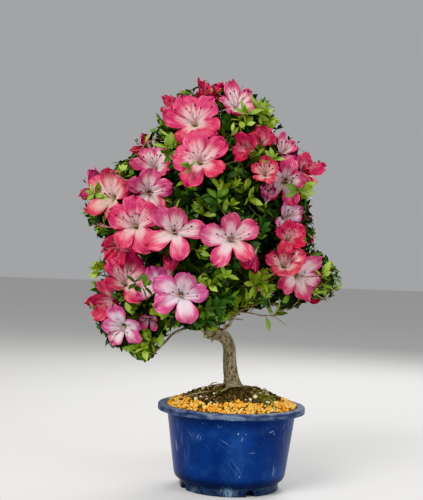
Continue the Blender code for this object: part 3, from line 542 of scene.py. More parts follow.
# %% Turn the pot
# The profile's corners: radius, height and ease, in tenths of a millimetre.
POT_CORNERS = np.array([
    (10, 95, 0), (548, 95, 12), (552, 0, 8), (600, 0, 9), (604, 104, 4), (630, 106, 10), (667, 135, 16),
    (683, 185, 20), (787, 932, 12), (900, 932, 11), (900, 1010, 24), (808, 1008, 14), (750, 922, 10),
    (646, 185, 30), (606, 135, 20), (10, 135, 0),
]) / TENTHS
NOTCH_TURN = math.radians(-65.7)
NOTCH_HALF = 0.0062
NOTCH_HEIGHT = 0.0074
FOOT_HEIGHT = 0.0106
FOOT_RADIUS = 0.0576


def eased(corners, steps=6):
    """Each corner (radius, height, ease) becomes a curve that starts and ends an ease away from it."""
    line = [corners[:1, :2]]
    t = np.linspace(0, 1, steps)[:, None]
    for before, corner, after in zip(corners[:-2], corners[1:-1], corners[2:]):
        back, on = before[:2] - corner[:2], after[:2] - corner[:2]
        start = corner[:2] + corner[2] * back / norm(back)
        end = corner[:2] + corner[2] * on / norm(on)
        line.append((1 - t) ** 2 * start + 2 * t * (1 - t) * corner[:2] + t**2 * end)
    return np.concatenate(line + [corners[-1:, :2]])


profile = eased(POT_CORNERS)
notches = NOTCH_TURN + np.arange(4) * math.tau / 4
half_turn = NOTCH_HALF / FOOT_RADIUS
steps = np.sin(np.linspace(-1, 1, 19) * math.pi / 2)
inside = np.concatenate([notch + half_turn * steps for notch in notches])
evenly = np.linspace(0, math.tau, 180, endpoint=False)
turns = np.unique(np.round(np.concatenate([evenly, inside % math.tau]), 5))
off = (turns[:, None] - notches + math.pi) % math.tau - math.pi
arch = NOTCH_HEIGHT * np.sqrt(np.clip(1 - (np.abs(off).min(axis=1) / half_turn) ** 2, 0, 1))
radius, height = profile[:, :1], profile[:, 1:]
in_foot = (radius > 0.054) & (height < FOOT_HEIGHT)
height = np.where(in_foot, arch + (FOOT_HEIGHT - arch) * height / FOOT_HEIGHT, height + 0 * arch)
rings = stacked(radius * np.cos(turns), radius * np.sin(turns), height) + ZERO
pot_shape = closed_rings(rings)
print("the pot's profile has", len(profile), "places and", len(turns), "turns")

# %% [markdown]
# The plastic is a deep glossy blue that years of handling have dulled: fine scratches run every way, water
# has left pale streaks down the side, the rolled lip is rubbed grey, and the foot carries dried dirt.
# Marks that have a place are ellipses measured round the pot and up it.

# %% Two node groups: a mark that has a place, and fine scratches
def new_group(name, takes, gives):
    """A node group whose inputs and outputs are given as {kind: their names}. Every use gives every input."""
    group = bpy.data.node_groups.new(name, "ShaderNodeTree")
    for way, sockets in (("INPUT", takes), ("OUTPUT", gives)):
        for kind, labels in sockets.items():
            for label in labels:
                group.interface.new_socket(label, in_out=way, socket_type="NodeSocket" + kind)
    return group, group.nodes.new("NodeGroupInput").outputs, group.nodes.new("NodeGroupOutput")


def turned(vector, angle):
    """A vector turned about Z."""
    inputs = {"Vector": vector, "Angle": angle}
    return add(vector, "VectorRotate", inputs, rotation_type="Z_AXIS").outputs[0]


def swayed(where, scale, reach, onto):
    """A place pushed aside by a coloured noise."""
    colour = add(where, "TexNoise", {"Vector": where, "Scale": scale, "Detail": 1}).outputs["Color"]
    return vectors("MULTIPLY_ADD", colour, (reach, reach, 0), onto)


mark_takes = {"Vector": ("Where", "Middle"), "Float": ("Turn", "Half Length", "Half Width", "Ragged")}
mark_group, taken, given = new_group("placed_mark", mark_takes, {"Float": ("Mask",)})
where = taken["Where"]
SWAY = 0.0055
bent = vectors("ADD", where, swayed(where, 75, SWAY, (-SWAY / 2, -SWAY / 2, 0)))
flat = xyz(turned(vectors("SUBTRACT", bent, taken["Middle"]), taken["Turn"]))
across = over(flat["X"], taken["Half Length"])
upward = over(flat["Y"], taken["Half Width"])
distance = calc("SQRT", plus(times(across, across), times(upward, upward)))
pushed = times_plus(minus(noise(where, 420), 0.5), taken["Ragged"], distance)
put(given, "Mask", mask(pushed, 1.05, 0.55))

scratch_takes = {"Vector": ("Where",), "Float": ("Turn", "Density", "Share")}
scratch_group, taken, given = new_group("fine_scratches", scratch_takes, {"Float": ("Mask",)})
spun = turned(taken["Where"], taken["Turn"])
long = vectors("MULTIPLY", swayed(spun, 30, 0.004, spun), (0.05, 1, 1))
inputs = {"Vector": long, "Scale": times(taken["Density"], 10)}
lines = add(long, "TexVoronoi", inputs, feature="DISTANCE_TO_EDGE").outputs["Distance"]
past_share = minus(noise(spun, 55, 2), minus(1, taken["Share"]))
put(given, "Mask", times(mask(lines, 0.03, 0.006), mask(past_share, 0, 0.12)))


def grouped(beside, group, **inputs):
    """A group's node, its inputs given by name."""
    inputs = {label.replace("_", " "): value for label, value in inputs.items()}
    return add(beside, "Group", inputs, node_tree=group)


def scratched(where, turn, density, share):
    """Fine scratches that run one way."""
    return grouped(where, scratch_group, Where=where, Turn=turn, Density=density, Share=share).outputs[0]


def marked(where, middle, turn, half_length, half_width, ragged):
    """The mask of one mark whose middle lies so far round the pot and so far up."""
    return grouped(where, mark_group, Where=where, Middle=(*middle, 0), Turn=turn,
                   Half_Length=half_length, Half_Width=half_width, Ragged=ragged).outputs[0]

# %% The marks on the pot
# Each mark: its middle round the pot from the front, its height, turn in degrees, half length, half width and
# strength. Lengths are in tenths of a millimetre and the strength is in hundredths.
POT_MARKS = (
    (595, 310, 97, 85, 9, 45), (640, 285, 93, 70, 6, 35), (250, 543, 5, 42, 4, 45),
    (-76, 657, -32, 95, 4, 45), (79, 757, 70, 16, 9, 90), (-400, 700, 62, 55, 6, 30),
    (-370, 680, 75, 45, 5, 35), (-520, 720, -45, 60, 5, 30), (-480, 730, -60, 50, 4, 30),
    (20, 350, -58, 150, 3, 30), (80, 370, -52, 120, 3, 30), (150, 345, 80, 100, 3, 25),
    (-800, 540, 86, 80, 20, 30), (480, 780, 15, 50, 10, 40), (530, 755, -50, 28, 8, 40),
    (740, 700, 80, 80, 6, 35), (-160, 840, -55, 30, 4, 40), (-125, 845, 50, 30, 4, 35),
    (-660, 650, 88, 110, 5, 30), (-720, 780, 84, 70, 5, 28), (-630, 480, 92, 90, 4, 25),
    (690, 820, 80, 50, 6, 35), (760, 600, 86, 80, 5, 30), (110, 260, 20, 16, 10, 45),
    (120, 690, 60, 30, 10, 30), (-330, 860, 10, 12, 7, 45), (160, 760, -40, 20, 6, 30),
)
# Large worn patches, in the same columns.
POT_CLOUDS = (
    (60, 600, 92, 300, 120, 50), (-160, 780, 20, 160, 70, 40), (-60, 360, 70, 170, 80, 35),
    (-300, 300, 30, 110, 60, 30), (100, 300, 100, 130, 70, 40), (-560, 560, 88, 260, 40, 35),
    (330, 800, 10, 180, 60, 30), (-420, 700, 40, 100, 80, 30), (610, 330, 85, 130, 50, 35),
)
print(len(POT_MARKS), "marks and", len(POT_CLOUDS), "worn patches")

# %% The worn blue plastic
MIDDLE_RADIUS = 0.074
blue_plastic, surface = finish_of("blue_plastic", 0.38)
put(surface, "Specular IOR Level", 0.22)
where = placed(surface)
spread = xyz(where)
high = spread["Z"]
round_it = times(calc("ARCTAN2", spread["X"], times(spread["Y"], -1)), MIDDLE_RADIUS)
unrolled = add(surface, "CombineXYZ", {"X": round_it, "Y": high}).outputs[0]

cloud = noise(where, 22, 4)
colour = ramp(cloud, (0.3, (0.003, 0.016, 0.092)), (0.52, (0.0055, 0.027, 0.15)),
              (0.75, (0.014, 0.056, 0.245)))
fine, fine_too = scratched(unrolled, 0.9, 42, 0.5), scratched(unrolled, -0.7, 34, 0.46)
worn = most(most(fine, fine_too), scratched(unrolled, 1.5, 50, 0.42))
colour = blend(times(worn, 0.42), colour, (0.1, 0.18, 0.4))
dull = mask(noise(placed(surface, (1, 1, 0.45)), 50, 5, 0.65), 0.5, 0.76)
colour = blend(times(dull, 0.42), colour, (0.04, 0.1, 0.26))


def marks(rows, ragged):
    """The strongest of the rows' placed marks at each spot."""
    found = []
    for round_it, up, turn, *halves, strength in rows:
        middle, halves = (round_it / TENTHS, up / TENTHS), (half / TENTHS for half in halves)
        found.append(times(marked(unrolled, middle, -math.radians(turn), *halves, ragged),
                           strength / HUNDREDTHS))
    return functools.reduce(most, found)


broken = mask(noise(where, 95, 5, 0.65), 0.36, 0.66)
clouds = times(marks(POT_CLOUDS, 2.2), times_plus(broken, 0.75, 0.2))
colour = blend(clouds, colour, (0.055, 0.115, 0.3))
colour = blend(marks(POT_MARKS, 0.9), colour, (0.42, 0.5, 0.62))
# Painted shade: the lowest band of the body, just above the step, is darkened almost to black.
painted_shade_low_band = times(mask(high, 0.0235, 0.015), 0.8)
colour = blend(painted_shade_low_band, colour, (0.006, 0.01, 0.042))
grime = noise(where, 190, 4)
foot_dirt = times(mask(high, 0.0112, 0.0096), mask(grime, 0.3, 0.56))
dirt = ramp(noise(where, 60), (0.3, (0.018, 0.032, 0.07)), (0.6, (0.055, 0.08, 0.125)),
            (0.8, (0.17, 0.2, 0.24)))
colour = blend(foot_dirt, colour, dirt)
patch = marked(unrolled, (-0.0035, 0.0056), 0, 0.012, 0.007, 2.2)
streaks = mask(noise(placed(surface, (1, 1, 0.22)), 330, 4, 0.6), 0.36, 0.64)
colour = blend(times(times(patch, streaks), 0.8), colour, (0.22, 0.34, 0.46))
lip = mask(high, 0.0925, 0.0945)
round_the_lip = vectors("MULTIPLY", unrolled, (0.32, 1, 1))
rubbed = ramp(noise(round_the_lip, 190, 5, 0.6), (0.32, (0.014, 0.022, 0.06)),
              (0.45, (0.046, 0.066, 0.125)), (0.57, (0.1, 0.13, 0.21)), (0.72, (0.26, 0.31, 0.4)))
colour = blend(times(lip, 0.9), colour, rubbed)
bleached = marked(unrolled, (-0.002, 0.0968), 0, 0.015, 0.0036, 2)
colour = blend(times(times(bleached, times_plus(broken, 0.7, 0.3)), 0.6), colour, (0.27, 0.36, 0.47))
crest = times(mask(high, 0.0985, 0.1008), mask(noise(where, 240), 0.4, 0.62))
colour = blend(times(crest, 0.5), colour, (0.3, 0.33, 0.42))
put(surface, "Base Color", colour)
shine = plus(0.33, times(most(worn, most(dull, lip)), 0.22))
put(surface, "Roughness", shine)
bump(surface, plus(times(worn, -0.5), noise(where, 260, 3)), 0.25, 0.0004)
pot = piece("pot_shell", pot_shape, blue_plastic, "blue_plastic")
pot.data.set_sharp_from_angle(angle=math.radians(40))
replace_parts(pot, "pot")

# %% [markdown]
# ## The soil
#
# An old root ball, dark and full of fine roots, mounds up to the trunk. Fresh fired-clay grit, sieved to two
# or three millimetres, fills the gap to the rim. The mound is a grid over the same curve as its solid, and
# the grit, crumbs and moss are small lumps strewn on it, each colour its own piece.

# %% The mound
SOIL_SUNK = 0.0008
SOIL_TOP, SOIL_SEAT, SOIL_EDGE, SOIL_EDGE_RADIUS, SOIL_FALL = 0.121, 0.0165, 0.099, 0.0788, 1.5


def ground(x, y):
    """The soil's height: the mound falls from its seat by a power of the radius, and is a little lumpy."""
    share = np.clip((np.hypot(x, y) - SOIL_SEAT) / (SOIL_EDGE_RADIUS - SOIL_SEAT), 0, 1)
    lumps = 0.0019 * soft_noise(x / 0.01 + 40, y / 0.01 + 40, 3)
    lumps = lumps + 0.0013 * soft_noise(x / 0.0036 + 60, y / 0.0036 + 60, 4)
    mound = SOIL_TOP - (SOIL_TOP - SOIL_EDGE) * share**SOIL_FALL - SOIL_SUNK
    return mound + lumps * np.clip(share * 4, 0.2, 1)


turn = np.linspace(0, math.tau, 200, endpoint=False)
reach = np.linspace(SOIL_EDGE_RADIUS, 0.0015, 70)[:, None]
x, y = reach * np.cos(turn), reach * np.sin(turn)
surface_rows = stacked(x, y, ground(x, y))
under = [(0.0015, 0.0142), (0.059, 0.0142), (0.0636, 0.02), (0.074, 0.091), (0.0783, 0.0965)]
under_rows = np.stack([stacked(r * np.cos(turn), r * np.sin(turn), 0 * turn + z) for r, z in under])
mound_shape = closed_rings(np.concatenate([under_rows, surface_rows]) + ZERO)

earth, surface = finish_of("old_root_ball", 0.95)
where = placed(surface)
grain = noise(where, 420, 5)
colour = ramp(grain, (0.3, (0.013, 0.01, 0.006)), (0.46, (0.05, 0.038, 0.021)),
              (0.58, (0.135, 0.105, 0.058)), (0.72, (0.36, 0.3, 0.19)))
reddish = mask(noise(where, 110, 3), 0.52, 0.64)
colour = blend(times(reddish, 0.6), colour, (0.085, 0.032, 0.016))
mossy = mask(noise(where, 45, 3), 0.5, 0.66)
colour = blend(times(mossy, 0.5), colour, (0.035, 0.055, 0.012))
level_ground = vectors("MULTIPLY", where, (1, 1, 0))
from_axis = add(surface, "VectorMath", {0: level_ground}, operation="LENGTH").outputs["Value"]
colour = blend(mask(from_axis, 0.056, 0.064), colour, (0.16, 0.075, 0.018))
put(surface, "Base Color", colour)
bump(surface, grain, 0.8, 0.0015)
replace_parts(piece("soil_mound", mound_shape, earth, "soil"), "soil")

# %% A lump of grit, and how lumps are strewn
def lump(seed, sides=7, levels=4):
    """A pebble: circles of latitude with each point's radius a little off, closed at both poles."""
    chance = seeded(seed)
    tilt = (np.arange(levels) + 0.75) / (levels + 0.5) * math.pi - math.pi / 2
    around = np.arange(sides) / sides * math.tau
    radius = 1 + chance.uniform(-0.2, 0.2, (levels, sides))
    rings = stacked(
        radius * np.cos(tilt)[:, None] * np.cos(around),
        radius * np.cos(tilt)[:, None] * np.sin(around),
        radius * np.sin(tilt)[:, None] + 0 * around,
    )
    return closed_rings(rings)


STREWN_RADIUS = 0.0782


def strew(name, material, count, seed, sizes, zone, flat=(0.75, 1), sunk=0.3):
    """Lumps of three shapes on the ground where zone(x, y, pick) is true, spread by the golden angle."""
    chance = seeded(seed)
    number = np.arange(count) + chance.uniform(-0.4, 0.4, count)
    reach = STREWN_RADIUS * np.sqrt(np.clip(number, 0.2, None) / count)
    swing = number * GOLDEN_TURN + chance.uniform(-0.05, 0.05, count)
    x, y = reach * np.cos(swing), reach * np.sin(swing)
    kept = zone(x, y, chance.uniform(0, 1, count))
    x, y = x[kept], y[kept]
    size = chance.uniform(*sizes, len(x))
    places = stacked(x, y, ground(x, y) + size * (1 - sunk)) + ZERO
    turns = any_turns(len(x), chance) * size[:, None, None]
    turns[:, :, 1] *= chance.uniform(*flat, len(x))[:, None]
    parts = [strewn(lump(seed + k), turns[k::3], places[k::3]) for k in range(3)]
    piece(name, joined(parts), material, "soil")


def clouded(name, low, high, roughness=0.9, scale=330, detail=4, spread=0.18, grain=1500,
            relief=(0.5, 0.0004)):
    """A grainy finish of two tints clouded together, blended over the spread on both sides of the middle."""
    material, surface = finish_of(name, roughness)
    where = placed(surface)
    put(surface, "Base Color", ramp(noise(where, scale, detail), (0.5 - spread, low), (0.5 + spread, high)))
    bump(surface, noise(where, grain), *relief)
    return material


def ring_edge(x, y):
    """The radius at which the fresh grit begins: uneven, and nearer the trunk at the front."""
    swing = np.arctan2(x, -y)
    dent = 0.011 * np.exp(-((swing - 0.07) / 0.28) ** 2)
    return 0.0625 - dent + 0.004 * soft_noise(swing * 4 + 20, 0 * swing + 9.5, 8)

print("the fresh grit begins", np.round(ring_edge(np.zeros(2), np.array((-1, 1))), 4), "m out")

# %% [markdown]
# Fired clay grit is sieved, so its grains are near one size and differ in tint. A particle system could
# scatter them, but real meshes are what a library keeps: each grain is a pebble of a few dozen faces. The
# four tints share one spread of places, so that no two grains stand in the same one.

# %% Fresh grit round the edge
# Each grit: its two tints, and the share of the ring's lumps that it starts and ends at.
GRIT = {
    "grit_orange": ((0.76, 0.275, 0.032), (0.91, 0.43, 0.066), 0, 0.33),
    "grit_amber": ((0.86, 0.45, 0.066), (0.95, 0.62, 0.14), 0.33, 0.76),
    "grit_straw": ((0.92, 0.65, 0.2), (0.98, 0.8, 0.36), 0.76, 0.93),
    "grit_brown": ((0.24, 0.095, 0.022), (0.46, 0.2, 0.05), 0.93, 1.01),
}
for name, (low, high, first, last) in GRIT.items():
    def in_ring(x, y, pick, first=first, last=last):
        """Outside the ring's edge, for the picks from first to last."""
        return (np.hypot(x, y) > ring_edge(x, y)) & (pick >= first) & (pick < last)

    strew(name, clouded(name, low, high), 3700, 50, (0.00125, 0.002), in_ring, sunk=0.15)
strew("grit_cream", clouded("grit_cream", (0.66, 0.58, 0.32), (0.9, 0.84, 0.6)), 1500, 71, (0.0008, 0.0016),
      lambda x, y, pick: pick < np.where(np.hypot(x, y) > ring_edge(x, y), 0.03, 0.07))

# %% Crumbs, chips and moss inside the ring
# What lies inside the ring: its two tints, count, seed, sizes, how far past the ring's edge it still lies,
# the share that is kept, and for some how flat it is.
LITTER = {
    "crumbs_dark": ((0.014, 0.01, 0.006), (0.08, 0.056, 0.028), 2600, 81, (0.0007, 0.0018), 0.003, 0.62),
    "crumbs_brown": ((0.075, 0.048, 0.02), (0.21, 0.145, 0.066), 2600, 82, (0.0006, 0.0015), 0.002, 0.4),
    "chips_bark": ((0.13, 0.068, 0.04), (0.36, 0.23, 0.155), 2200, 84, (0.0008, 0.0021), 0, 0.16,
                   (0.3, 0.6)),
    "flecks_pale": ((0.46, 0.39, 0.24), (0.8, 0.73, 0.54), 2600, 85, (0.0005, 0.0012), 0.004, 0.16,
                    (0.4, 1)),
    "crumbs_amber": ((0.5, 0.26, 0.06), (0.74, 0.46, 0.13), 2000, 83, (0.0006, 0.0013), 0, 0.1),
}
for name, (low, high, count, seed, sizes, beyond, share, *flat) in LITTER.items():
    def in_middle(x, y, pick, beyond=beyond, share=share):
        """Inside the ring's edge or a little beyond it, for the picks under the share."""
        return (np.hypot(x, y) < ring_edge(x, y) + beyond) & (pick < share)

    strew(name, clouded(name.replace("s_", "_"), low, high), count, seed, sizes, in_middle, *flat)


def moss_patches(x, y, pick):
    """Where moss grows: round patches with a ragged edge, and a little of it anywhere."""
    patches = ((0.043, -0.024, 0.016), (0.034, -0.034, 0.011), (0.04, -0.042, 0.011),
               (-0.045, -0.012, 0.009), (-0.012, -0.02, 0.006), (0.028, 0.03, 0.012), (-0.03, 0.038, 0.01))
    near = np.min([np.hypot(x - px, y - py) / size for px, py, size in patches], axis=0)
    return (near < 0.7 + 0.6 * pick) | (pick < 0.02)


strew("moss_deep", clouded("moss_deep", (0.05, 0.066, 0.01), (0.15, 0.17, 0.03)), 8000, 91,
      (0.0005, 0.0011), moss_patches, sunk=-0.4)
strew("moss_fresh", clouded("moss_fresh", (0.24, 0.25, 0.036), (0.5, 0.47, 0.12)), 7000, 92,
      (0.0004, 0.0008), moss_patches, sunk=-1.5)

# %% [markdown]
# Fine roots, straws and pale pellets lie on the old soil. A thin thing only needs its middle line, so each is
# a tube through a few knots whose heights are measured from the ground, and it follows the mound.

# %% Fine roots
WISP_REACH, WISP_EDGE = 0.07, 0.058


def wisps(count, seed, length, radius):
    """Short curved roots lying on the ground inside the ring of grit."""
    chance = seeded(seed)
    parts = []
    for _ in range(count):
        reach = WISP_REACH * math.sqrt(chance.uniform(0.04, 0.8))
        swing, heading = chance.uniform(0, math.tau), chance.uniform(0, math.tau)
        x, y = reach * math.cos(swing), reach * math.sin(swing)
        if np.hypot(x, y) >= WISP_EDGE:
            continue
        t = np.linspace(0, 1, 8)
        long = chance.uniform(*length)
        bends = heading + chance.uniform(-1.4, 1.4) * t + 0.5 * np.sin(t * 7 + chance.uniform(0, 6))
        x = x + np.cumsum(np.cos(bends)) * long / 8
        y = y + np.cumsum(np.sin(bends)) * long / 8
        z = ground(x, y) + 0.0013 + 0.0016 * np.sin(t * math.pi) * chance.uniform(0, 1)
        radii = np.full(8, chance.uniform(*radius)) * (1.1 - 0.6 * t)
        parts.append(tube(stacked(x, y, z) + ZERO, radii, 5))
    return joined(parts)


fibrous = functools.partial(clouded, roughness=0.85, scale=260, detail=3, spread=0.2, grain=900,
                            relief=(0.4, 0.0003))
brown_roots = wisps(420, 5, (0.008, 0.022), (0.0002, 0.0005))
piece("roots_brown", brown_roots, fibrous("root_brown", (0.07, 0.042, 0.02), (0.2, 0.13, 0.065)), "soil")
pale_roots = wisps(170, 6, (0.006, 0.018), (0.00018, 0.0004))
piece("roots_pale", pale_roots, fibrous("root_pale", (0.26, 0.19, 0.1), (0.52, 0.42, 0.28)), "soil")

# %% Pale pellets
# Each pellet: across, towards the back and radius, in tenths of a millimetre.
PELLETS = (
    (-352, -10, 26), (-374, -313, 19), (-434, -396, 22), (-306, -447, 17), (-255, -546, 15),
    (-193, -553, 13), (135, -10, 15), (-90, -140, 12), (15, -140, 11), (268, -423, 25), (207, -484, 20),
    (440, -50, 17), (336, -197, 17), (427, -427, 16), (-385, -124, 13), (-220, -350, 14), (-132, -252, 12),
    (402, 10, 25), (-100, 380, 19), (200, 340, 17),
)
pellet_x, pellet_y, pellet_size = np.array(PELLETS).T / TENTHS
spots = stacked(pellet_x, pellet_y, ground(pellet_x, pellet_y) + pellet_size * 0.9) + ZERO
turns = any_turns(len(spots), seeded(77)) * pellet_size[:, None, None]
pellets = strewn(lump(78, 9, 6), turns, spots)
piece("pellets", pellets, clouded("pellet", (0.78, 0.7, 0.44), (0.93, 0.88, 0.68)), "soil")

# %% A stick, straws and bare roots
def laid(spots, radii, around=6):
    """A smoothed tube through (x, y, height above the ground) spots, all in tenths of a millimetre."""
    spots, radii = np.array(spots) / TENTHS, np.array(radii) / TENTHS
    spots[:, 2] += ground(spots[:, 0], spots[:, 1])
    route = smooth_route(spots, 4 * len(spots))
    along = np.interp(np.linspace(0, 1, len(route)), np.linspace(0, 1, len(radii)), radii)
    return tube(route + ZERO, along, around)


# Each laid thing: its tints, and for each of its tubes the spots, the radii and how many sides it has.
LAID = {
    "root_chunk": ((0.105, 0.064, 0.042), (0.42, 0.3, 0.22), (
        (((-100, -55, 42), (-155, -110, 44), (-205, -160, 30), (-245, -210, 4)), (13, 22, 21, 10), 10),
    )),
    "dark_stick": ((0.006, 0.004, 0.003), (0.03, 0.02, 0.013), (
        (((-270, -530, 30), (-120, -400, 40), (40, -280, 42), (150, -170, 30)), (4, 8, 7, 4), 8),
    )),
    "old_roots": ((0.085, 0.055, 0.032), (0.27, 0.19, 0.12), (
        (((-165, -120, 18), (-185, -170, 26), (-212, -225, 8)), (17, 20, 9), 6),
        (((-260, -40, 10), (-280, -90, 26), (-312, -150, 10)), (9, 12, 5), 6),
        (((-90, -120, 20), (-80, -170, 26), (-60, -210, 10)), (9, 12, 6), 6),
    )),
    "straws": ((0.3, 0.23, 0.13), (0.62, 0.54, 0.38), (
        (((-640, -200, 30), (-450, -240, 34), (-270, -290, 28)), (6, 7, 5), 6),
        (((-300, -140, 10), (-285, -140, 50), (-240, -130, 78), (-200, -120, 82), (-180, -120, 68)),
         (7, 8, 8, 4), 6),
        (((-130, -290, 28), (-100, -270, 34), (-60, -260, 42)), (7, 10, 6), 6),
        (((385, -40, 15), (385, -40, 55), (408, -40, 70), (430, -40, 54), (434, -40, 18)), (7, 8, 7), 6),
        (((255, -20, 12), (275, -20, 52), (300, -20, 50), (312, -20, 74)), (4, 5, 3), 6),
        (((-380, -20, 10), (-400, -20, 42), (-430, -30, 46)), (4, 4, 3), 6),
    )),
}
for name, (low, high, tubes) in LAID.items():
    piece(name, joined([laid(*each) for each in tubes]), fibrous(name.rstrip("s"), low, high), "soil")

# %% [markdown]
# ## The trunk and the boughs
#
# An azalea's bark is thin and olive-grey, cracked into narrow upright flakes whose edges are pale, with a
# burr under the bend where an old limb was taken off. Each limb is a tube whose radius carries three sizes
# of relief: lumps, upright cracks and a fine grain. The crack's height is kept as an attribute, so that the
# colour can follow it.

# %% Bark relief
def cracks(turn, distance, seed, count):
    """1 on a flake and 0 in a crack, which is where a soft noise stretched along the limb is near 0."""
    along = distance / 0.0046
    wander = soft_noise(turn / math.tau * 4, distance / 0.007 + 30, seed, around=4)
    wave = turn / math.tau * count + 0.45 * wander
    first = np.abs(soft_noise(wave % count, along + 50, seed + 1, around=count))
    second = np.abs(soft_noise((2 * wave) % (2 * count), 2.1 * along + 20, seed + 2, around=2 * count))
    return np.clip(first * 3.4, 0, 1) * 0.5 + np.clip(second * 2.8, 0, 1) * 0.5


def barked(route, radii, around, seed, count, depth, collar=0, extra=None):
    """A limb with bark relief. Returns its (points, faces, uv) and each point's crack height."""
    kept = {}

    def swell(turn, distance):
        """One, raised by soft lumps and flakes, lowered in the cracks, and wider where the limb starts."""
        flakes = cracks(turn, distance, seed, count)
        lumps = soft_noise(turn / math.tau * 5, distance / 0.013 + 10, seed + 5, around=5)
        grain = soft_noise(turn / math.tau * 3 * count, distance / 0.0012, seed + 6, around=3 * count)
        kept["ridge"] = np.concatenate([flakes.ravel(), [0.5, 0.5]])
        foot = collar * np.exp(-distance / 0.006)
        more = 0 if extra is None else extra(turn, distance)
        return 1 + 0.075 * lumps + depth * (flakes - 0.6) + 0.3 * depth * grain + foot + more

    return tube(route, radii, around, swell), kept["ridge"]


def bumps_at(spots):
    """Extra swelling for (turn, distance along, spread round, spread along, height) spots."""
    def extra(turn, distance):
        """The sum of a bell of each spot's height round its middle."""
        total = 0
        for where, far, wide, tall, height in spots:
            off = (turn - where + math.pi) % math.tau - math.pi
            total = total + height * np.exp(-(off / wide) ** 2 - ((distance - far) / tall) ** 2)
        return total
    return extra

# %% The trunk
trunk_knots = np.vstack([TRUNK, [(-0.036, -0.003, 0.1866, 0.0052)]])
trunk_line = smooth_route(trunk_knots, 150)
burr = bumps_at([
    (2.9, 0.069, 0.5, 0.0045, 0.3), (1.2, 0.066, 0.35, 0.0035, 0.16), (4.4, 0.052, 0.4, 0.004, 0.1),
    (5.6, 0.03, 0.4, 0.005, 0.08), (3.4, 0.024, 0.45, 0.006, 0.07),
])


def flare(turn, distance):
    """Five ribs at the foot that die away upwards, and the burr."""
    drop = np.clip(1 - distance / 0.014, 0, 1)
    ribs = 0.2 * drop**2 * np.cos(5 * turn + 0.6) + 0.1 * drop**2 * np.cos(3 * turn + 2)
    return ribs + burr(turn, distance)


trunk_shape, trunk_ridge = barked(trunk_line[:, :3] + ZERO, trunk_line[:, 3], 180, 21, 28, 0.066,
                                  extra=flare)

print("the trunk has", len(trunk_shape[1]), "triangles")

# %% The other limbs, the surface roots and the bare twigs
leader_line = smooth_route(LEADER, 190)
limbs = [barked(leader_line + ZERO, np.linspace(*LEADER_RADII, 190), 30, 31, 12, 0.08, collar=0.12)]
away = np.linspace(0, 1, 64)
bulge = (4 * away * (1 - away))[:, None]
for number, (name, (parent, share, tip, bow, foot, end)) in enumerate(BOUGHS.items()):
    wander = np.stack([soft_noise(away * 3.2 + 7, 0 * away + k, 90 + number) for k in range(3)], axis=-1)
    line = smooth_route(routes[name], 64) + wander * 0.0022 * bulge + ZERO
    around = 22 if foot > 0.003 else 14
    limbs.append(barked(line, np.linspace(foot, end, 64), around, 100 + number, 8, 0.08, collar=0.25))
for number in range(6):
    chance = seeded(200 + number)
    swing = number * math.tau / 6 + chance.uniform(-0.3, 0.3)
    reach = np.linspace(0.006, chance.uniform(0.02, 0.03), 22)
    bend = swing + chance.uniform(-0.5, 0.5) * np.linspace(0, 1, 22) ** 2
    x, y = reach * np.cos(bend), reach * np.sin(bend)
    lift = np.interp(np.linspace(0, 1, 22), (0, 0.35, 1), (0.0052, 0.0012, -0.0022))
    radii = np.linspace(0.0042, 0.0014, 22) * chance.uniform(0.8, 1.1)
    line = stacked(x, y, ground(x, y) + lift) + ZERO
    limbs.append(barked(line, radii, 16, 210 + number, 6, 0.12))
# Bare twigs under the crown and the stubs: the knots and the radii at both ends, in tenths of a millimetre.
BARE_TWIGS = (
    (((-250, -40, 1870), (-165, -70, 1898), (-110, -80, 1922), (-60, -90, 1985), (-30, -100, 2045),
      (30, -110, 2052), (110, -120, 2046)), 16, 5),
    (((-125, -80, 1922), (-115, -80, 1990), (-85, -90, 2070), (-40, -100, 2120)), 11, 7),
    (((0, -80, 2080), (80, -100, 2140), (320, -140, 2110), (450, -160, 2110), (540, -170, 2065),
      (645, -180, 1985)), 13, 4),
    (((440, -160, 2110), (530, -180, 2130), (620, -180, 2210), (770, -200, 2290)), 9, 5),
    (((180, -120, 2125), (240, -160, 2230), (300, -180, 2290), (480, -220, 2435)), 9, 5),
    (((-830, -270, 1750), (-900, -300, 1680), (-1010, -330, 1620), (-1100, -360, 1530)), 10, 5),
    (((-243, -50, 1800), (-262, -80, 1778), (-275, -90, 1765)), 16, 9),
    (((-90, -400, 2282), (-35, -500, 2353), (20, -560, 2415), (77, -600, 2491)), 8, 4),
    (((150, -120, 2188), (251, -260, 2249), (316, -380, 2307), (389, -500, 2403),
      (481, -580, 2491)), 12, 6),
    (((501, -180, 2170), (576, -300, 2196), (651, -400, 2236), (734, -520, 2303)), 10, 6),
    (((762, -400, 2491), (889, -460, 2431), (1008, -480, 2359), (1121, -500, 2296)), 9, 4),
    (((-322, -600, 2094), (-254, -700, 2165), (-187, -740, 2216), (-104, -760, 2288)), 8, 4),
    (((-200, -600, 2309), (-165, -800, 2415), (-134, -900, 2574)), 8, 4),
    (((9, -300, 2246), (87, -440, 2284), (203, -500, 2314)), 7, 4),
)
for number, (knots, foot, end) in enumerate(BARE_TWIGS):
    line = smooth_route(np.array(knots) / TENTHS, 12 * len(knots)) + ZERO
    limbs.append(barked(line, np.linspace(foot / TENTHS, end / TENTHS, len(line)), 12, 230 + number, 5,
                        0.1))
print(len(limbs), "limbs beside the trunk")

# %% [markdown]
# The cracks stand in the mesh already. Their height is kept on the points as an attribute, and the finish
# reads it, so that its dark tint falls in the same cracks that the light finds.

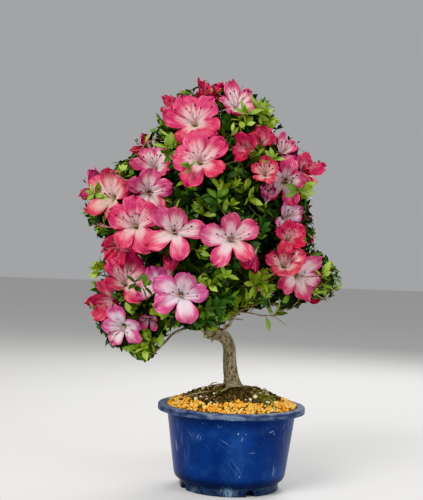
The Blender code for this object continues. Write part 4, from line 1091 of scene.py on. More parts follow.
# %% Bark as a finish
def bark_finish(name, dark, mid, light, lichen=0):
    """Olive-grey bark: dark in the cracks, pale on the flakes' edges, clouded along the limb."""
    material, surface = finish_of(name, 0.88)
    where = placed(surface)
    height = add(surface, "Attribute", attribute_name="ridge").outputs["Fac"]
    streak = noise(placed(surface, (1, 1, 0.28)), 760, 3)
    mixed = times_plus(minus(streak, 0.5), 1.45, times(height, 0.85))
    colour = ramp(mixed, (0.1, dark), (0.42, mid), (0.78, light),
                  (1, tuple(min(1, 1.25 * c) for c in light)))
    cloud = noise(where, 70, 3)
    colour = blend(times(mask(cloud, 0.45, 0.68), 0.45), colour, tuple(0.45 * c for c in mid))
    if lichen:
        spots = mask(noise(where, 230, 4), 0.6, 0.7)
        colour = blend(times(spots, lichen), colour, (0.3, 0.33, 0.2))
    put(surface, "Base Color", colour)
    fine = noise(placed(surface, (1, 1, 0.45)), 1400, 4)
    bump(surface, plus(times(streak, 0.7), times(fine, 0.4)), 0.9, 0.0006)
    return material


old_bark = bark_finish("old_bark", (0.072, 0.055, 0.034), (0.18, 0.148, 0.095), (0.415, 0.352, 0.237),
                       lichen=0.2)
young_bark = bark_finish("young_bark", (0.095, 0.072, 0.044), (0.255, 0.208, 0.138), (0.5, 0.43, 0.31))
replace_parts(piece("trunk_bark", trunk_shape, old_bark, "bark", ridge=trunk_ridge), "trunk")
shapes, ridges = zip(*limbs)
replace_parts(piece("boughs_bark", joined(shapes), young_bark, "bark", ridge=np.concatenate(ridges)),
            "leader", *BOUGHS)

cut_wood, surface = finish_of("cut_wood", 0.8)
tint = ramp(noise(placed(surface), 900), (0.3, (0.52, 0.44, 0.24)), (0.7, (0.74, 0.68, 0.46)))
put(surface, "Base Color", tint)
stub_line = np.array([(-345, -70, 1838), (-352, -100, 1832), (-354, -108, 1830)]) / TENTHS + ZERO
piece("cut_stub", tube(stub_line, (0.0016, 0.0018, 0.0012), 10), cut_wood, "bark")

# %% [markdown]
# ## The blooms
#
# A bloom is a funnel of five petals. Each petal is a sheet whose narrow foot wraps its share of the tube and
# whose broad lobe overlaps the next one, with a ruffled margin and a crease along its rib. It is one grid of
# two parameters, v along the petal and u across it.

# %% Where the blooms are
def facing(turn, tilt):
    """The direction turned to the right and tilted up, in degrees, from facing -Y."""
    turn, tilt = math.radians(turn), math.radians(tilt)
    return np.array([math.sin(turn) * math.cos(tilt), -math.cos(turn) * math.cos(tilt), math.sin(tilt)])


def frame_along(axis):
    """Two directions square to the axis and to each other, the second as near straight up as it can be."""
    side = np.cross(axis, (0, 0, 1))
    if norm(side) < 0.1:
        side = np.cross(axis, (0, 1, 0))
    side = unit(side)
    return side, np.cross(side, axis)


# The blooms round the sides and the back, as their solids have them: the middle of the face, the axis, the
# width and the openness. The axis is in thousandths and the openness in tenths.
BACK_BLOOMS = (
    ("low_left", (-1416, 258, 1961, -358, 905, -228, 541, 10)),
    ("low_right", (892, 389, 2497, 121, 993, 8, 576, 10)),
    ("mid_left", (-1745, -9, 3608, -860, 379, 342, 579, 9), (-1380, -182, 2858, -111, 60, -992, 578, 9)),
    ("mid_right", (750, 120, 3260, 800, 600, 38, 541, 7)),
    ("upper_left", (-1150, 60, 4120, -891, 305, 336, 555, 7)),
    ("upper_right", (680, 40, 4000, 850, 250, 460, 554, 7)),
    ("top", (-780, 240, 4560, -800, 540, 269, 565, 9), (-355, 230, 4760, -15, 650, 760, 607, 9)),
    ("back_low", (360, 600, 2440, 860, -300, 150, 560, 7), (-900, 500, 2520, -850, -300, 300, 560, 9),
     (-247, 1278, 2203, -43, 970, -238, 633, 10), (-837, 950, 2247, -939, 294, -180, 547, 10)),
    ("back_left", (-991, 1277, 3096, -21, 989, -149, 561, 10), (-1482, 752, 3000, -967, 4, -256, 564, 10),
     (-1277, 833, 3697, -761, 221, 611, 573, 7), (-414, 710, 3250, 997, -73, 0, 541, 9),
     (-785, 340, 2945, 396, -857, -329, 556, 7)),
    ("back_right", (830, 1001, 3023, 894, 400, -202, 618, 7), (401, 1328, 3287, 39, 997, 65, 636, 10),
     (756, 956, 3553, 851, 352, 389, 627, 10), (-57, 1103, 3262, -821, 570, 41, 593, 9)),
    ("back_upper", (-170, 992, 4430, 209, 821, 531, 550, 7), (259, 905, 4149, 895, 439, 77, 627, 10),
     (-175, 1123, 3859, 160, 949, -273, 599, 7), (-648, 1008, 4256, -706, 676, 210, 562, 9)),
)
blooms = []
for name, (*place, turn, tilt, width, openness, colouring, roll) in by_mass(BLOOMS):
    place, width = np.array(place) / TENTHS, width / TENTHS
    blooms.append((name, place, facing(turn, tilt), width, openness / HUNDREDTHS, colouring,
                   math.radians(roll)))
for number, (name, (x, y, z, *axis, width, openness)) in enumerate(by_mass(BACK_BLOOMS)):
    axis = np.array(axis) / THOUSANDTHS
    colouring = SEEDED_COLOURINGS[number % len(SEEDED_COLOURINGS)]
    roll = math.radians((number * 47) % 72 - 36)
    blooms.append((name, np.array((x, y, z)) / TENTHS, unit(axis), width / TENTHS, openness / 10,
                   colouring, roll))
print(len(blooms), "blooms in all")

# %% A petal's proportions
PETAL_ROWS, PETAL_COLUMNS = 23, 15
PLACES_ROUND = np.radians((0, 67, 141, 219, 293))
ALONG = (0, 0.12, 0.28, 0.42, 0.56, 0.7, 0.84, 0.94, 1)
REACH = (0.012, 0.045, 0.1, 0.172, 0.262, 0.35, 0.43, 0.478, 0.5)
DEPTH = (-0.33, -0.245, -0.155, -0.098, -0.058, -0.028, -0.012, -0.01, -0.018)
# In bloom widths too: how far forward a closed petal's tip stands, and how far back the tube's foot lies.
CLOSED_RISE, FOOT_DEPTH = 0.34, 0.34
FOOT_HALF = ((0, 0.12, 0.28, 0.42, 0.56, 0.65), (0.01, 0.042, 0.086, 0.146, 0.192, 0.207))
WIDEST = 0.65
NARROWER = {"blush": 0.86, "pale": 0.87, "salmon": 0.93}
POINTED = (0.04, 0.34, 0.12, 0.46, 0, 0.22, 0.08)
UPPER = (4, 0, 1)
TILES = 4


def spread_of(openness):
    """How far the petals reach out, as a share of a fully open bloom's."""
    return 0.25 + 0.75 * openness


def lobe_half(v, pointed):
    """Half a petal's width: it opens from the foot to its widest place, then closes as a quarter ellipse.

    The ellipse's root is taken to a power above one half for a pointed tip.
    """
    tip = FOOT_HALF[1][-1] * np.clip(1 - ((v - WIDEST) / (1 - WIDEST)) ** 2, 0.0012, 1) ** (0.5 + pointed)
    return np.where(v < WIDEST, np.interp(v, *FOOT_HALF), tip)

print("half a petal's width along it:", np.round(lobe_half(np.linspace(0, 1, 5), 0), 3))

# %% One petal
def petal(bloom, number, chance):
    """One petal as (points, faces, uv).

    Its middle line runs out from the tube by REACH and forward by DEPTH, in bloom widths. The foot is bent
    round the tube and the lobe is flat, blended by v. Across it, one edge lies over the next petal and one
    under, the rib is creased, and the margin rolls back and waves.
    """
    _, place, axis, width, general, colouring, roll = bloom
    own = chance.choice((0.08, 0, -0.1, -0.26), p=(0.25, 0.35, 0.25, 0.15))
    openness = np.clip(general + own, 0.1, 1)
    t = np.linspace(0, 1, PETAL_ROWS)
    rows = np.where(t < 0.55, WIDEST * t / 0.55,
                    WIDEST + (1 - WIDEST) * np.sin((t - 0.55) / 0.45 * math.pi / 2))
    v, u = np.meshgrid(rows, np.linspace(-1, 1, PETAL_COLUMNS), indexing="ij")
    later = np.clip((v - 0.35) / 0.65, 0, 1)
    ragged = np.sin(u * 6 + chance.uniform(0, 6)) + 0.6 * np.sin(u * 13 + chance.uniform(0, 6))
    reach = np.interp(v, ALONG, REACH) * spread_of(openness) * (1 + 0.1 * chance.uniform(-1, 0.8) * v)
    reach = reach + 0.013 * ragged * v**6
    depth = np.interp(v, ALONG, DEPTH)
    depth = depth + ((1 - openness) * CLOSED_RISE + (general - openness) * 0.45) * v**2
    pointed = POINTED[(number + int(10000 * (width + abs(place[0])))) % len(POINTED)]
    wider = 1.12 if number == 0 else 1
    half = lobe_half(v, pointed) * wider * (1 + 0.13 * chance.uniform(-1, 1)) * (0.45 + 0.55 * openness)
    half = half * NARROWER.get(colouring, 1)
    middle = PLACES_ROUND[number] - roll + chance.uniform(-0.13, 0.13)
    angle = middle + u * (math.pi / 5 + 0.14)
    flatness = np.clip((v - 0.18) / 0.3, 0, 1)
    flatness = flatness**2 * (3 - 2 * flatness) * (0.35 + 0.65 * openness)
    swept = u * half + 0.055 * chance.uniform(-1, 1) * v**2
    flat_x = np.sin(middle) * reach + np.cos(middle) * swept
    flat_y = np.cos(middle) * reach - np.sin(middle) * swept
    x = (1 - flatness) * np.sin(angle) * reach + flatness * flat_x
    y = (1 - flatness) * np.cos(angle) * reach + flatness * flat_y
    overlap = 0.038 * u * v**1.5 * chance.uniform(0.4, 1.6)
    along_rib = np.sin(np.clip((v - 0.15) / 0.85, 0, 1) * math.pi)
    crease = -chance.uniform(0.022, 0.05) * np.exp(-((u / 0.2) ** 2)) * along_rib
    rolled = chance.uniform(-0.095, 0.03) * u**2 * later
    phase = chance.uniform(0, 6.28, 6)
    side_wave = np.sin(v * 15 + phase[0] + phase[1] * np.sign(u)) * np.abs(u) ** 2.5 * later
    fine_wave = np.sin(v * 31 + phase[4] + u * 4) * np.abs(u) ** 2 * later
    end_wave = np.sin(u * 5 + phase[2]) * later**4 + 0.5 * np.sin(u * 11 + phase[5]) * later**5
    across_wave = np.sin(u * 7 + v * 5 + phase[3]) * later
    curl = chance.uniform(-0.16, 0.11) * np.clip((v - 0.5) / 0.5, 0, 1) ** 2
    depth = depth + overlap + crease + (rolled + curl) * openness
    depth = depth + 0.03 * side_wave + 0.013 * fine_wave + 0.032 * end_wave + 0.01 * across_wave
    side, up = frame_along(axis)
    points = place + width * (x[..., None] * side + y[..., None] * up + depth[..., None] * axis)
    column, row = chance.integers(0, TILES), chance.integers(0, TILES // 2)
    row += TILES // 2 if number in UPPER else 0
    uv = stacked((column + 0.5 + 0.46 * u) / TILES, (row + 0.02 + 0.96 * v) / TILES)
    return points.reshape(-1, 3), grid_faces(PETAL_ROWS, PETAL_COLUMNS), uv.reshape(-1, 2)


COLOURINGS = ("crimson", "rose", "salmon", "blush", "pale")
petals = {name: [] for name in COLOURINGS}
for number, bloom in enumerate(blooms):
    chance = seeded(300 + number)
    for k in range(5):
        petals[bloom[5]].append(petal(bloom, k, chance))

# %% [markdown]
# A petal's colour is laid in three steps: a pale throat, the body's pink, and a broad vivid margin with a
# brushed inner edge. The three upper petals are cooler and carry the throat's speckles. The petals are spread
# over sixteen tiles of one square, so that one node group can give each tile its own margin and tint.

# %% The petal's node group
petal_group, taken, given = new_group(
    "petal_colour",
    {"Color": ("Throat", "Body", "Margin", "Cool"),
     "Float": ("Margin Width", "Throat Reach", "Speckle", "Vein")},
    {"Color": ("Colour",), "Float": ("Height",)},
)
own = add(petal_group, "UVMap", uv_map="OFBake").outputs["UV"]
tiled = add(petal_group, "VectorMath", {0: own, "Scale": float(TILES)}, operation="SCALE").outputs[0]
tile, inside_tile = vectors("FLOOR", tiled), vectors("FRACTION", tiled)
is_upper = calc("GREATER_THAN", xyz(tile)["Y"], 1.5)
dealt = add(tile, "TexWhiteNoise", {"Vector": tile}, noise_dimensions="3D").outputs["Color"]
lot = add(tile, "SeparateColor", {"Color": dealt}).outputs
parted = xyz(inside_tile)
v = parted["Y"]
across = times_plus(parted["X"], 2.17, -1.085)
u = calc("ABSOLUTE", across)
brush = noise(vectors("MULTIPLY", tiled, (24, 2.2, 1)), 1, 4, 0.6)
soft = noise(tiled, 2.6, 2)

cubed = times(power(u, 2.4), mask(v, 0.22, 0.5))
edge = plus(v, times(times(cubed, 0.8), minus(1, v)))
edge = times_plus(minus(brush, 0.5), 0.34, edge)
edge = times_plus(minus(soft, 0.5), 0.26, edge)
margin_width = times_plus(minus(lot[0], 0.5), 0.22, taken["Margin Width"])
past = plus(minus(edge, 1), margin_width)
rim = mask(past, -0.13, 0.13)
faint = mask(past, -0.42, 0.06)

cool_share = times_plus(is_upper, 0.28, times(lot[1], 0.26))
margin = blend(cool_share, taken["Margin"], taken["Cool"])
throat = blend(times(cool_share, 0.75), taken["Throat"], (0.8, 0.75, 0.88))
inner = over(times_plus(minus(brush, 0.5), 0.35, v), taken["Throat Reach"])
throat = blend(mask(v, 0.22, 0.1), throat, (0.52, 0.46, 0.29))
colour = blend(mask(inner, 0.45, 1.2), throat, taken["Body"])
colour = blend(times(faint, 0.24), colour, margin)
colour = blend(rim, colour, margin)
# The crumples' noise bumps the surface and also paints the margin paler and deeper in patches: painted light
# and shade over the crumples. The deeper patches also follow the brushed streaks, which are a real darker
# crimson.
crumples_and_shade = noise(vectors("MULTIPLY", tiled, (5, 3.4, 1)), 1, 2)
painted_light_patches = times(mask(crumples_and_shade, 0.5, 0.3), times(rim, 0.34))
colour = blend(painted_light_patches, colour, taken["Body"])
streaks_and_painted_shade = times(mask(times_plus(brush, 0.5, crumples_and_shade), 0.78, 0.98), rim)
colour = blend(times(streaks_and_painted_shade, 0.6), colour, (0.38, 0.008, 0.06))

fan = over(across, times_plus(v, 0.75, 0.35))
branch = add(petal_group, "TexNoise", {"Vector": tiled, "Scale": 1.5, "Detail": 2}).outputs["Fac"]
lines = times_plus(minus(branch, 0.5), 3, times(fan, 24))
wave = power(times_plus(calc("SINE", lines), 0.5, 0.5), 5)
vein = times(times(wave, taken["Vein"]), mask(v, 0.15, 0.45))
rib = times(mask(u, 0.06, 0.012), taken["Vein"])
lined = most(vein, rib)
colour = blend(lined, colour, margin)
colour = blend(times(times(lined, rim), 1.6), colour, (0.36, 0.006, 0.05))
spots = vectors("MULTIPLY", tiled, (6.6, 8.2, 1))
dots = add(petal_group, "TexVoronoi",
           {"Vector": spots, "Scale": 1, "Randomness": 0.85}).outputs["Distance"]
zone = times(mask(v, 0.2, 0.36), mask(v, 0.7, 0.5))
zone = times(times(zone, mask(u, 0.66, 0.3)), is_upper)
speckle = times(times(mask(dots, 0.34, 0.2), zone), taken["Speckle"])
colour = blend(times(zone, times(taken["Speckle"], 0.22)), colour, margin)
colour = blend(speckle, colour, (0.4, 0.012, 0.09))
put(given, "Colour", colour)
height = plus(times_plus(crumples_and_shade, 1.6, times(brush, 0.7)), times(wave, -0.4))
put(given, "Height", height)

# %% Five colourings
# Each colouring: the throat, the body, the margin and the cool margin, then the margin's width, the throat's
# reach, the speckles and the veins.
PETALS = {
    "crimson": ((0.86, 0.5, 0.48), (0.86, 0.27, 0.28), (0.6, 0.021, 0.064), (0.5, 0.026, 0.14),
                0.51, 0.66, 0.8, 0.24),
    "rose": ((0.85, 0.63, 0.58), (0.87, 0.4, 0.38), (0.615, 0.036, 0.098), (0.52, 0.052, 0.215),
             0.43, 0.78, 0.7, 0.24),
    "salmon": ((0.88, 0.64, 0.53), (0.88, 0.46, 0.385), (0.64, 0.056, 0.092), (0.58, 0.055, 0.165),
               0.37, 0.8, 0.55, 0.22),
    "blush": ((0.84, 0.71, 0.68), (0.86, 0.55, 0.53), (0.625, 0.054, 0.132), (0.52, 0.095, 0.31),
              0.36, 0.88, 0.6, 0.2),
    "pale": ((0.81, 0.73, 0.76), (0.85, 0.62, 0.65), (0.615, 0.078, 0.22), (0.5, 0.12, 0.385),
             0.31, 0.94, 0.65, 0.18),
}
for name, (throat, body, margin, cool, margin_width, throat_reach, speckle, vein) in PETALS.items():
    material, surface = finish_of("petal_" + name, 0.5)
    made = grouped(surface, petal_group, Throat=(*throat, 1), Body=(*body, 1), Margin=(*margin, 1),
                   Cool=(*cool, 1),
                   Margin_Width=margin_width, Throat_Reach=throat_reach, Speckle=speckle, Vein=vein)
    put(surface, "Base Color", made.outputs["Colour"])
    put(surface, "Sheen Weight", 0.12)
    bump(surface, made.outputs["Height"], 0.55, 0.0011)
    piece("petals_" + name, moved(joined(petals[name]), ZERO), material, "foliage", keep_uv=True)

# %% [markdown]
# Five thin filaments and a longer pistil leave the throat together, bend up and end in dark anthers. They
# are drawn as narrow tubes, and each bloom sits in a small green cup on its stalk.

# %% Filaments, anthers and cups
# Blooms that stand farther out in front or behind than this have shorter filaments.
FAR_OUT = 0.09


def filament(bloom, number, chance):
    """The middle line of a filament in the bloom's own frame: forward from the throat, bending up."""
    _, place, axis, width, openness, _, _ = bloom
    side, up = frame_along(axis)
    t = np.linspace(0, 1, 9)
    long = 0.6 if number == 5 else chance.uniform(0.42, 0.54)
    if abs(place[1]) > FAR_OUT:
        long *= 0.74
    lean = 0 if number == 5 else (number - 2) * 0.11 + chance.uniform(-0.04, 0.04)
    rise = (0.13 if number == 5 else chance.uniform(0.06, 0.16)) * t**2.2 - 0.05 * t
    forward = -0.26 + long * t
    sway = (lean * t**1.4 + 0.03 * np.sin(t * 4 + number)) * (0.5 + 0.5 * openness)
    return place + width * (forward[:, None] * axis + sway[:, None] * side + (rise - 0.01)[:, None] * up)


# Blooms behind the others that show only their filaments: middle of the face, turn to the right, tilt, width.
HIDDEN = (((-0.1515, -0.078, 0.3098), -80, -4, 0.052), ((-0.137, -0.077, 0.367), -72, 14, 0.036))
hidden = [
    ("", np.array(place), facing(turn, tilt), width, 0.6, "", 0) for place, turn, tilt, width in HIDDEN
]
filaments, anthers, cups = [], [], []
for number, bloom in enumerate(blooms + hidden):
    chance = seeded(900 + number)
    for k in range(6):
        line = filament(bloom, k, chance)
        filaments.append(tube(line, np.linspace(0.00048, 0.00036, len(line)), 5))
        tip = unit(line[-1] - line[-2])
        size = 0.0014 if k < 5 else 0.0008
        bead = np.stack([line[-1] + tip * size * s for s in (-0.6, 0.1, 0.9, 1.7)])
        anthers.append(tube(bead, np.array((0.25, 0.62, 0.58, 0.2)) * size, 6))
    _, place, axis, width, openness, _, _ = bloom
    foot = place - axis * FOOT_DEPTH * width
    line = np.stack([foot + axis * s for s in (-0.003, -0.0018, 0, 0.0024, 0.0042)])
    cups.append(tube(line, (0.0007, 0.0016, 0.0023, 0.0021, 0.0016), 10))

stalk, surface = finish_of("filament", 0.4)
along = xyz(add(surface, "UVMap", uv_map="OFBake").outputs["UV"])["Y"]
tint = ramp(along, (0, (0.6, 0.5, 0.38)), (0.5, (0.58, 0.34, 0.33)), (1, (0.42, 0.15, 0.18)))
put(surface, "Base Color", tint)
piece("filaments", moved(joined(filaments), ZERO), stalk, "foliage", keep_uv=True)
dark_bead = clouded("anther", (0.02, 0.008, 0.01), (0.085, 0.035, 0.04), 0.6)
piece("anthers", moved(joined(anthers), ZERO), dark_bead, "foliage")
green_cup = clouded("cup", (0.12, 0.2, 0.035), (0.22, 0.3, 0.07), 0.6)
piece("cups", moved(joined(cups), ZERO), green_cup, "foliage")

# %% [markdown]
# ## Growing the twigs
#
# Each mass grows as its solid did: a stem runs on from the limb, and every goal in the mass's space is joined
# by a twig from the nearest joint of what has grown so far. Here the goals stand closer, so the twigs are
# finer and more, and each twig's thickness follows the number of tips that it feeds.

# %% The space of each mass, and the room in front of each bloom
MARGIN = 0.02
LEAF_SPACING = 0.0208


def on_show_plane(points):
    """Points carried along their line of sight to the upright plane through the pot's axis: (across, up)."""
    eye = EYE - ZERO
    share = -eye[1] / (points[:, 1] - eye[1])
    return (eye + (points - eye) * share[:, None])[:, [0, 2]].T


def within_outline(points):
    """Which points the show side sees inside the crown's outline.

    A line from the point's place on the show plane to the right crosses the outline an odd number of times
    when the point is inside.
    """
    across, high = on_show_plane(points)[:, :, None]
    x, z = OUTLINE.T
    next_x, next_z = np.roll(OUTLINE, -1, axis=0).T
    crosses = (z > high) != (next_z > high)
    rise = np.where(next_z == z, 1, next_z - z)
    return (crosses & (across < x + (high - z) * (next_x - x) / rise)).sum(axis=1) % 2 == 1


def carrier_of(name):
    """The limb that a mass grows on."""
    return "leader" if name == "mass_top" else name.replace("mass", "bough")


def depth_in(name, points):
    """How deep points lie in a mass's space: 0 at its middle and 1 at its skin."""
    middle, half = MASSES[name]
    return norm((np.atleast_2d(points) - middle) / half, axis=1)


def in_space(name, points):
    """Which points lie in this mass's space and clear of its neighbours' nearer ones."""
    own = depth_in(name, points)
    others = np.min([depth_in(other, points) for other in MASSES if other != name], axis=0)
    return (own <= 1) & (others > own + MARGIN)


bloom_place, bloom_axis, bloom_width, bloom_open = (
    np.array([bloom[column] for bloom in blooms]) for column in (1, 2, 3, 4)
)


def clear_of_blooms(points, slack=0):
    """Which points lie neither in a bloom nor in the room in front of its face."""
    away = points[:, None, :] - bloom_place
    high = np.einsum("nbk,bk->nb", away, bloom_axis)
    out = norm(away - high[..., None] * bloom_axis, axis=-1) / bloom_width
    high = high / bloom_width
    spread = spread_of(bloom_open)
    reached = out / spread
    raised = (1 - bloom_open) * CLOSED_RISE * np.clip(reached / 0.49, 0, 1) ** 2
    floor_of = np.interp(reached, REACH, DEPTH) + raised
    curled = 0.09 * np.clip((reached - 0.3) / 0.2, 0, 1)
    blocked = (out < 0.5 * spread + slack) & (high > floor_of - 0.045 - curled) & (high < 0.8)
    return ~blocked.any(axis=1)


def golden_directions(count, chance):
    """Directions spread over the sphere by the golden angle, each a little off its place, then shuffled."""
    i = np.arange(count)
    height = 1 - 2 * (i + 0.5) / count
    swing = i * math.pi * (3 - math.sqrt(5))
    level = np.sqrt(1 - height * height)
    ways = stacked(level * np.cos(swing), level * np.sin(swing), height)
    ways += chance.uniform(-0.15, 0.15, ways.shape)
    ways /= norm(ways, axis=1, keepdims=True)
    return ways[chance.permutation(count)]

# %% How one mass grows
def bezier(a, b, c, d, count):
    """Points on the cubic curve from a to d that leaves towards b and arrives from c."""
    t = np.linspace(0, 1, count)[:, None]
    return (1 - t) ** 3 * a + 3 * t * (1 - t) ** 2 * b + 3 * t**2 * (1 - t) * c + t**3 * d


def grow(name, chance):
    """The twigs and sprays of one mass.

    Goals are taken group by group, nearest the stem first, and each is joined by a curve from the joint that
    costs least: its distance, and more when it lies off the joint's heading. Returns the twigs
    [line, parent], how many twigs each one feeds, and the sprays (twig, kind, place, heading).
    """
    middle, half = MASSES[name]
    route = routes[carrier_of(name)]
    way = unit(route[-1] - route[-2])
    start = route[-1] - way * 0.002
    stem_end = start + 0.62 * (middle - start)
    stem = bezier(start, start + way * 0.012, stem_end - (middle - start) * 0.15, stem_end, 12)
    twigs = [[stem, -1]]
    joints = [(stem[k], unit(stem[k] - stem[k - 1]), 0) for k in (3, 5, 7, 9, 11)]
    goals = [
        (place - axis * (FOOT_DEPTH * width + 0.001), axis, "bloom")
        for mass, place, axis, width, *_ in blooms if mass == name
    ]
    goals.sort(key=lambda goal: norm(goal[0] - stem[-1]))
    size = np.prod(half) ** (1 / 3)
    for shell, spacing, kind in ((0.48, 1.1, "inner"), (0.74, 0.92, "inner"), (1, 1, "outer")):
        count = int(4 * math.pi * (shell * size) ** 2 / (LEAF_SPACING * spacing) ** 2)
        ways = golden_directions(max(count, 3), chance)
        depth = half * shell
        if kind == "outer":
            depth = half - 0.013 * (1 + chance.uniform(-0.45, 0.9, (len(ways), 1)))
        places = middle + ways * depth
        kept = in_space(name, places) & clear_of_blooms(places, 0.1) & within_outline(places)
        ordered = [(place, out, kind) for place, out in zip(places[kept], ways[kept])]
        ordered.sort(key=lambda goal: norm(goal[0] - stem[-1]))
        goals += ordered
    short = name.removeprefix("mass_")
    shown = [(*row, "show") for row in SHOW_SPRAYS.get(short, ())]
    for x, y, z, *heading, kind in shown + list(FRONT_SPRAYS.get(short, ())):
        heading = unit(np.array(heading) / HUNDREDTHS)
        goals.append((np.array((x, y, z)) / MILLIMETRES - heading * 0.004, heading, kind))
    for place in FILL_SPRAYS.get(short, ()):
        goals.append((np.array(place) / MILLIMETRES, np.array((0, -0.8, 0.6)), "inner"))
    sprays = []
    for goal, out, kind in goals:
        spots = np.array([joint[0] for joint in joints])
        heads = np.array([joint[1] for joint in joints])
        span = goal - spots
        reach = norm(span, axis=1)
        along = np.einsum("nk,nk->n", span, heads) / np.maximum(reach, 1e-6)
        cost = reach * (1 + 0.55 * (1 - along)) + (reach < 0.006) * 1
        best = int(np.argmin(cost))
        joint, head, parent = joints[best]
        reach = reach[best]
        if kind in ("bloom", "show", *GREENS_BY_LIGHT):
            arrive = out
        else:
            arrive = unit(out * 0.8 + np.array([0, 0, 0.45]) + chance.uniform(-0.25, 0.25, 3))
        line = bezier(joint, joint + head * 0.25 * reach + chance.uniform(-0.05, 0.05, 3) * reach,
                      goal - arrive * 0.35 * reach, goal, 8)
        twigs.append([line, parent])
        own = len(twigs) - 1
        for k in (3, 5) if kind != "bloom" else (2, 4):
            joints.append((line[k], unit(line[k] - line[k - 1]), own))
        sprays.append((own, kind, line[-1], unit(line[-1] - line[-2])))
    fed = np.ones(len(twigs))
    for own in range(len(twigs) - 1, 0, -1):
        fed[twigs[own][1]] += fed[own]
    return twigs, fed, sprays

# %% The sprays that have their own place, by mass
# Those that stand out of the crown on the show side: the twig's end in millimetres, then its heading in
# hundredths.
SHOW_SPRAYS = {
    "low_left": ((-166, -45, 262, -92, -38, 5), (-161, -42, 264, -55, -45, 70),
     (-165, -45, 255, -90, -40, -20), (-115, -100, 248, 27, -77, 57), (-123, -98, 241, -80, -60, 6),
     (-109, -98, 240, 87, -49, 12), (-171, -34, 219, -93, -37, -4), (-119, -74, 212, 18, -79, 58),
     (-104, -64, 193, 35, -76, -55), (-156, -40, 198, -86, -43, -25), (-111, -62, 184, 15, -65, -74),
     (-120, -58, 180, -25, -60, -75)),
    "low_front": ((-24, -106, 240, 8, -80, 59), (-35, -112, 250, -21, -86, 46),
     (-78, -86, 203, 12, -94, -32), (-90, -90, 220, -32, -93, 18), (-39, -100, 218, 73, -61, -29),
     (-47, -50, 200, -55, -75, -25)),
    "low_middle": ((-12, -80, 231, 18, -79, 58), (-1, -74, 227, 16, -49, 86), (10, -64, 224, 88, -36, 29),
     (-27, -82, 222, -63, -73, 28), (-21, -76, 209, -20, -95, -23), (-36, -74, 204, -54, -76, -36),
     (-37, -26, 198, -25, -90, 25), (-31, -24, 193, 55, -80, 5), (-27, -30, 207, 25, -80, 50),
     (-40, -34, 205, -35, -85, 40), (-34, -30, 211, 30, -90, 30)),
    "low_right": ((19, -74, 251, -33, -85, 40), (29, -72, 257, 29, -73, 62), (36, -66, 243, -10, -99, 8),
     (108, -20, 269, 62, -20, 76), (111, -24, 256, 93, -29, 22), (100, -26, 245, 90, -40, -17),
     (52, -60, 216, 93, -29, 22)),
    "mid_left": ((-175, -40, 346, -92, -37, 15), (-143, -50, 376, -3, -30, 95),
     (-165, -40, 313, -92, -37, -13), (-117, -80, 290, 23, -73, -64)),
    "mid_front": ((-24, -112, 358, 8, -80, 59), (-6, -104, 366, 36, -50, 79),
     (-44, -112, 330, -22, -70, 68), (-41, -106, 344, 7, -42, 91), (-35, -118, 297, -22, -93, 29),
     (-44, -118, 285, 48, -86, -19), (-29, -112, 274, 13, -75, -65)),
    "mid_right": ((7, -90, 359, 54, -75, 38), (11, -86, 348, 28, -95, 9), (78, -40, 360, 89, -40, 22),
     (88, -26, 365, 86, -18, 47), (71, -40, 342, 79, -44, -42), (74, -52, 356, 70, -70, 15)),
    "upper_left": ((-88, -70, 411, -64, -36, 68), (-91, -78, 398, -58, -77, 26)),
    "upper_front": ((-80, -90, 417, -3, -46, 89), (-17, -90, 417, 27, -77, 57),
     (-13, -80, 428, -22, -60, 77), (10, -80, 396, -22, -93, 29), (-64, -100, 365, -31, -91, 28)),
    "upper_right": ((30, -40, 437, 55, -30, 78), (37, -74, 394, 17, -86, 47), (36, -38, 445, 72, -45, 52),
     (30, -50, 436, 10, -90, 42)),
    "top": ((-36, -30, 473, 16, -29, 94), (-17, -44, 457, -22, -60, 77), (9, -50, 457, 25, -48, 84),
     (18, -40, 462, 68, -36, 64), (4, -66, 438, 26, -85, 46), (-5, -64, 444, -39, -75, 53),
     (16, -38, 470, 30, -42, 86), (26, -34, 462, 66, -36, 66), (24, -44, 454, 48, -78, 40)),
}
# Those that stand in front of a bloom or the fork: the same, and the green of their leaves, which is partly
# their own and partly painted light: at the fork, shaded by the crown above, they are given the lighter
# greens.
FRONT_SPRAYS = {
    "low_left": ((-116, -116, 251, -25, -75, 60, "deep"), (-103, -116, 247, 35, -78, 52, "mid"),
     (-173, -46, 214, -85, -50, 15, "fresh")),
    "droop_left": ((-106, -56, 171, 15, -90, 35, "bright"), (-120, -54, 167, -45, -80, -20, "fresh"),
     (-94, -52, 177, 60, -75, 20, "bright"), (-112, -48, 159, 5, -70, -70, "fresh")),
    "low_front": ((-40, -74, 206, -20, -75, 62, "bright"), (-46, -70, 199, -50, -80, 10, "fresh")),
    "low_middle": ((-29, -68, 199, 35, -80, 45, "bright"), (-21, -72, 217, 10, -80, 60, "bright"),
     (-5, -66, 216, 40, -70, 60, "bright"), (-13, -70, 221, -10, -60, 80, "bright"),
     (12, -70, 232, -30, -80, 52, "bright")),
    "low_right": ((30, -70, 248, 20, -85, 45, "fresh"), (106, -40, 263, 80, -45, 40, "bright"),
     (109, -36, 251, 92, -38, 5, "fresh"), (99, -40, 241, 85, -40, -30, "bright")),
    "mid_left": ((-172, -70, 350, -50, -75, 35, "fresh"), (-143, -52, 378, -5, -25, 96, "bright")),
    "mid_front": ((-14, -122, 262, 20, -80, 55, "fresh"),),
    "mid_right": ((70, -74, 361, 45, -85, 25, "mid"), (78, -64, 366, 85, -42, 32, "bright")),
    "upper_left": ((-88, -98, 405, -40, -70, 58, "fresh"), (-82, -102, 397, 35, -78, 52, "mid")),
    "upper_front": ((-60, -132, 379, -45, -60, 66, "mid"),),
    "upper_right": ((28, -56, 441, 72, -58, 38, "mid"), (37, -84, 397, 5, -90, 42, "fresh")),
    "top": ((5, -72, 452, 10, -60, 80, "fresh"), (18, -58, 460, 40, -45, 80, "fresh"),
     (-37, -34, 478, -10, -30, 95, "bright")),
}
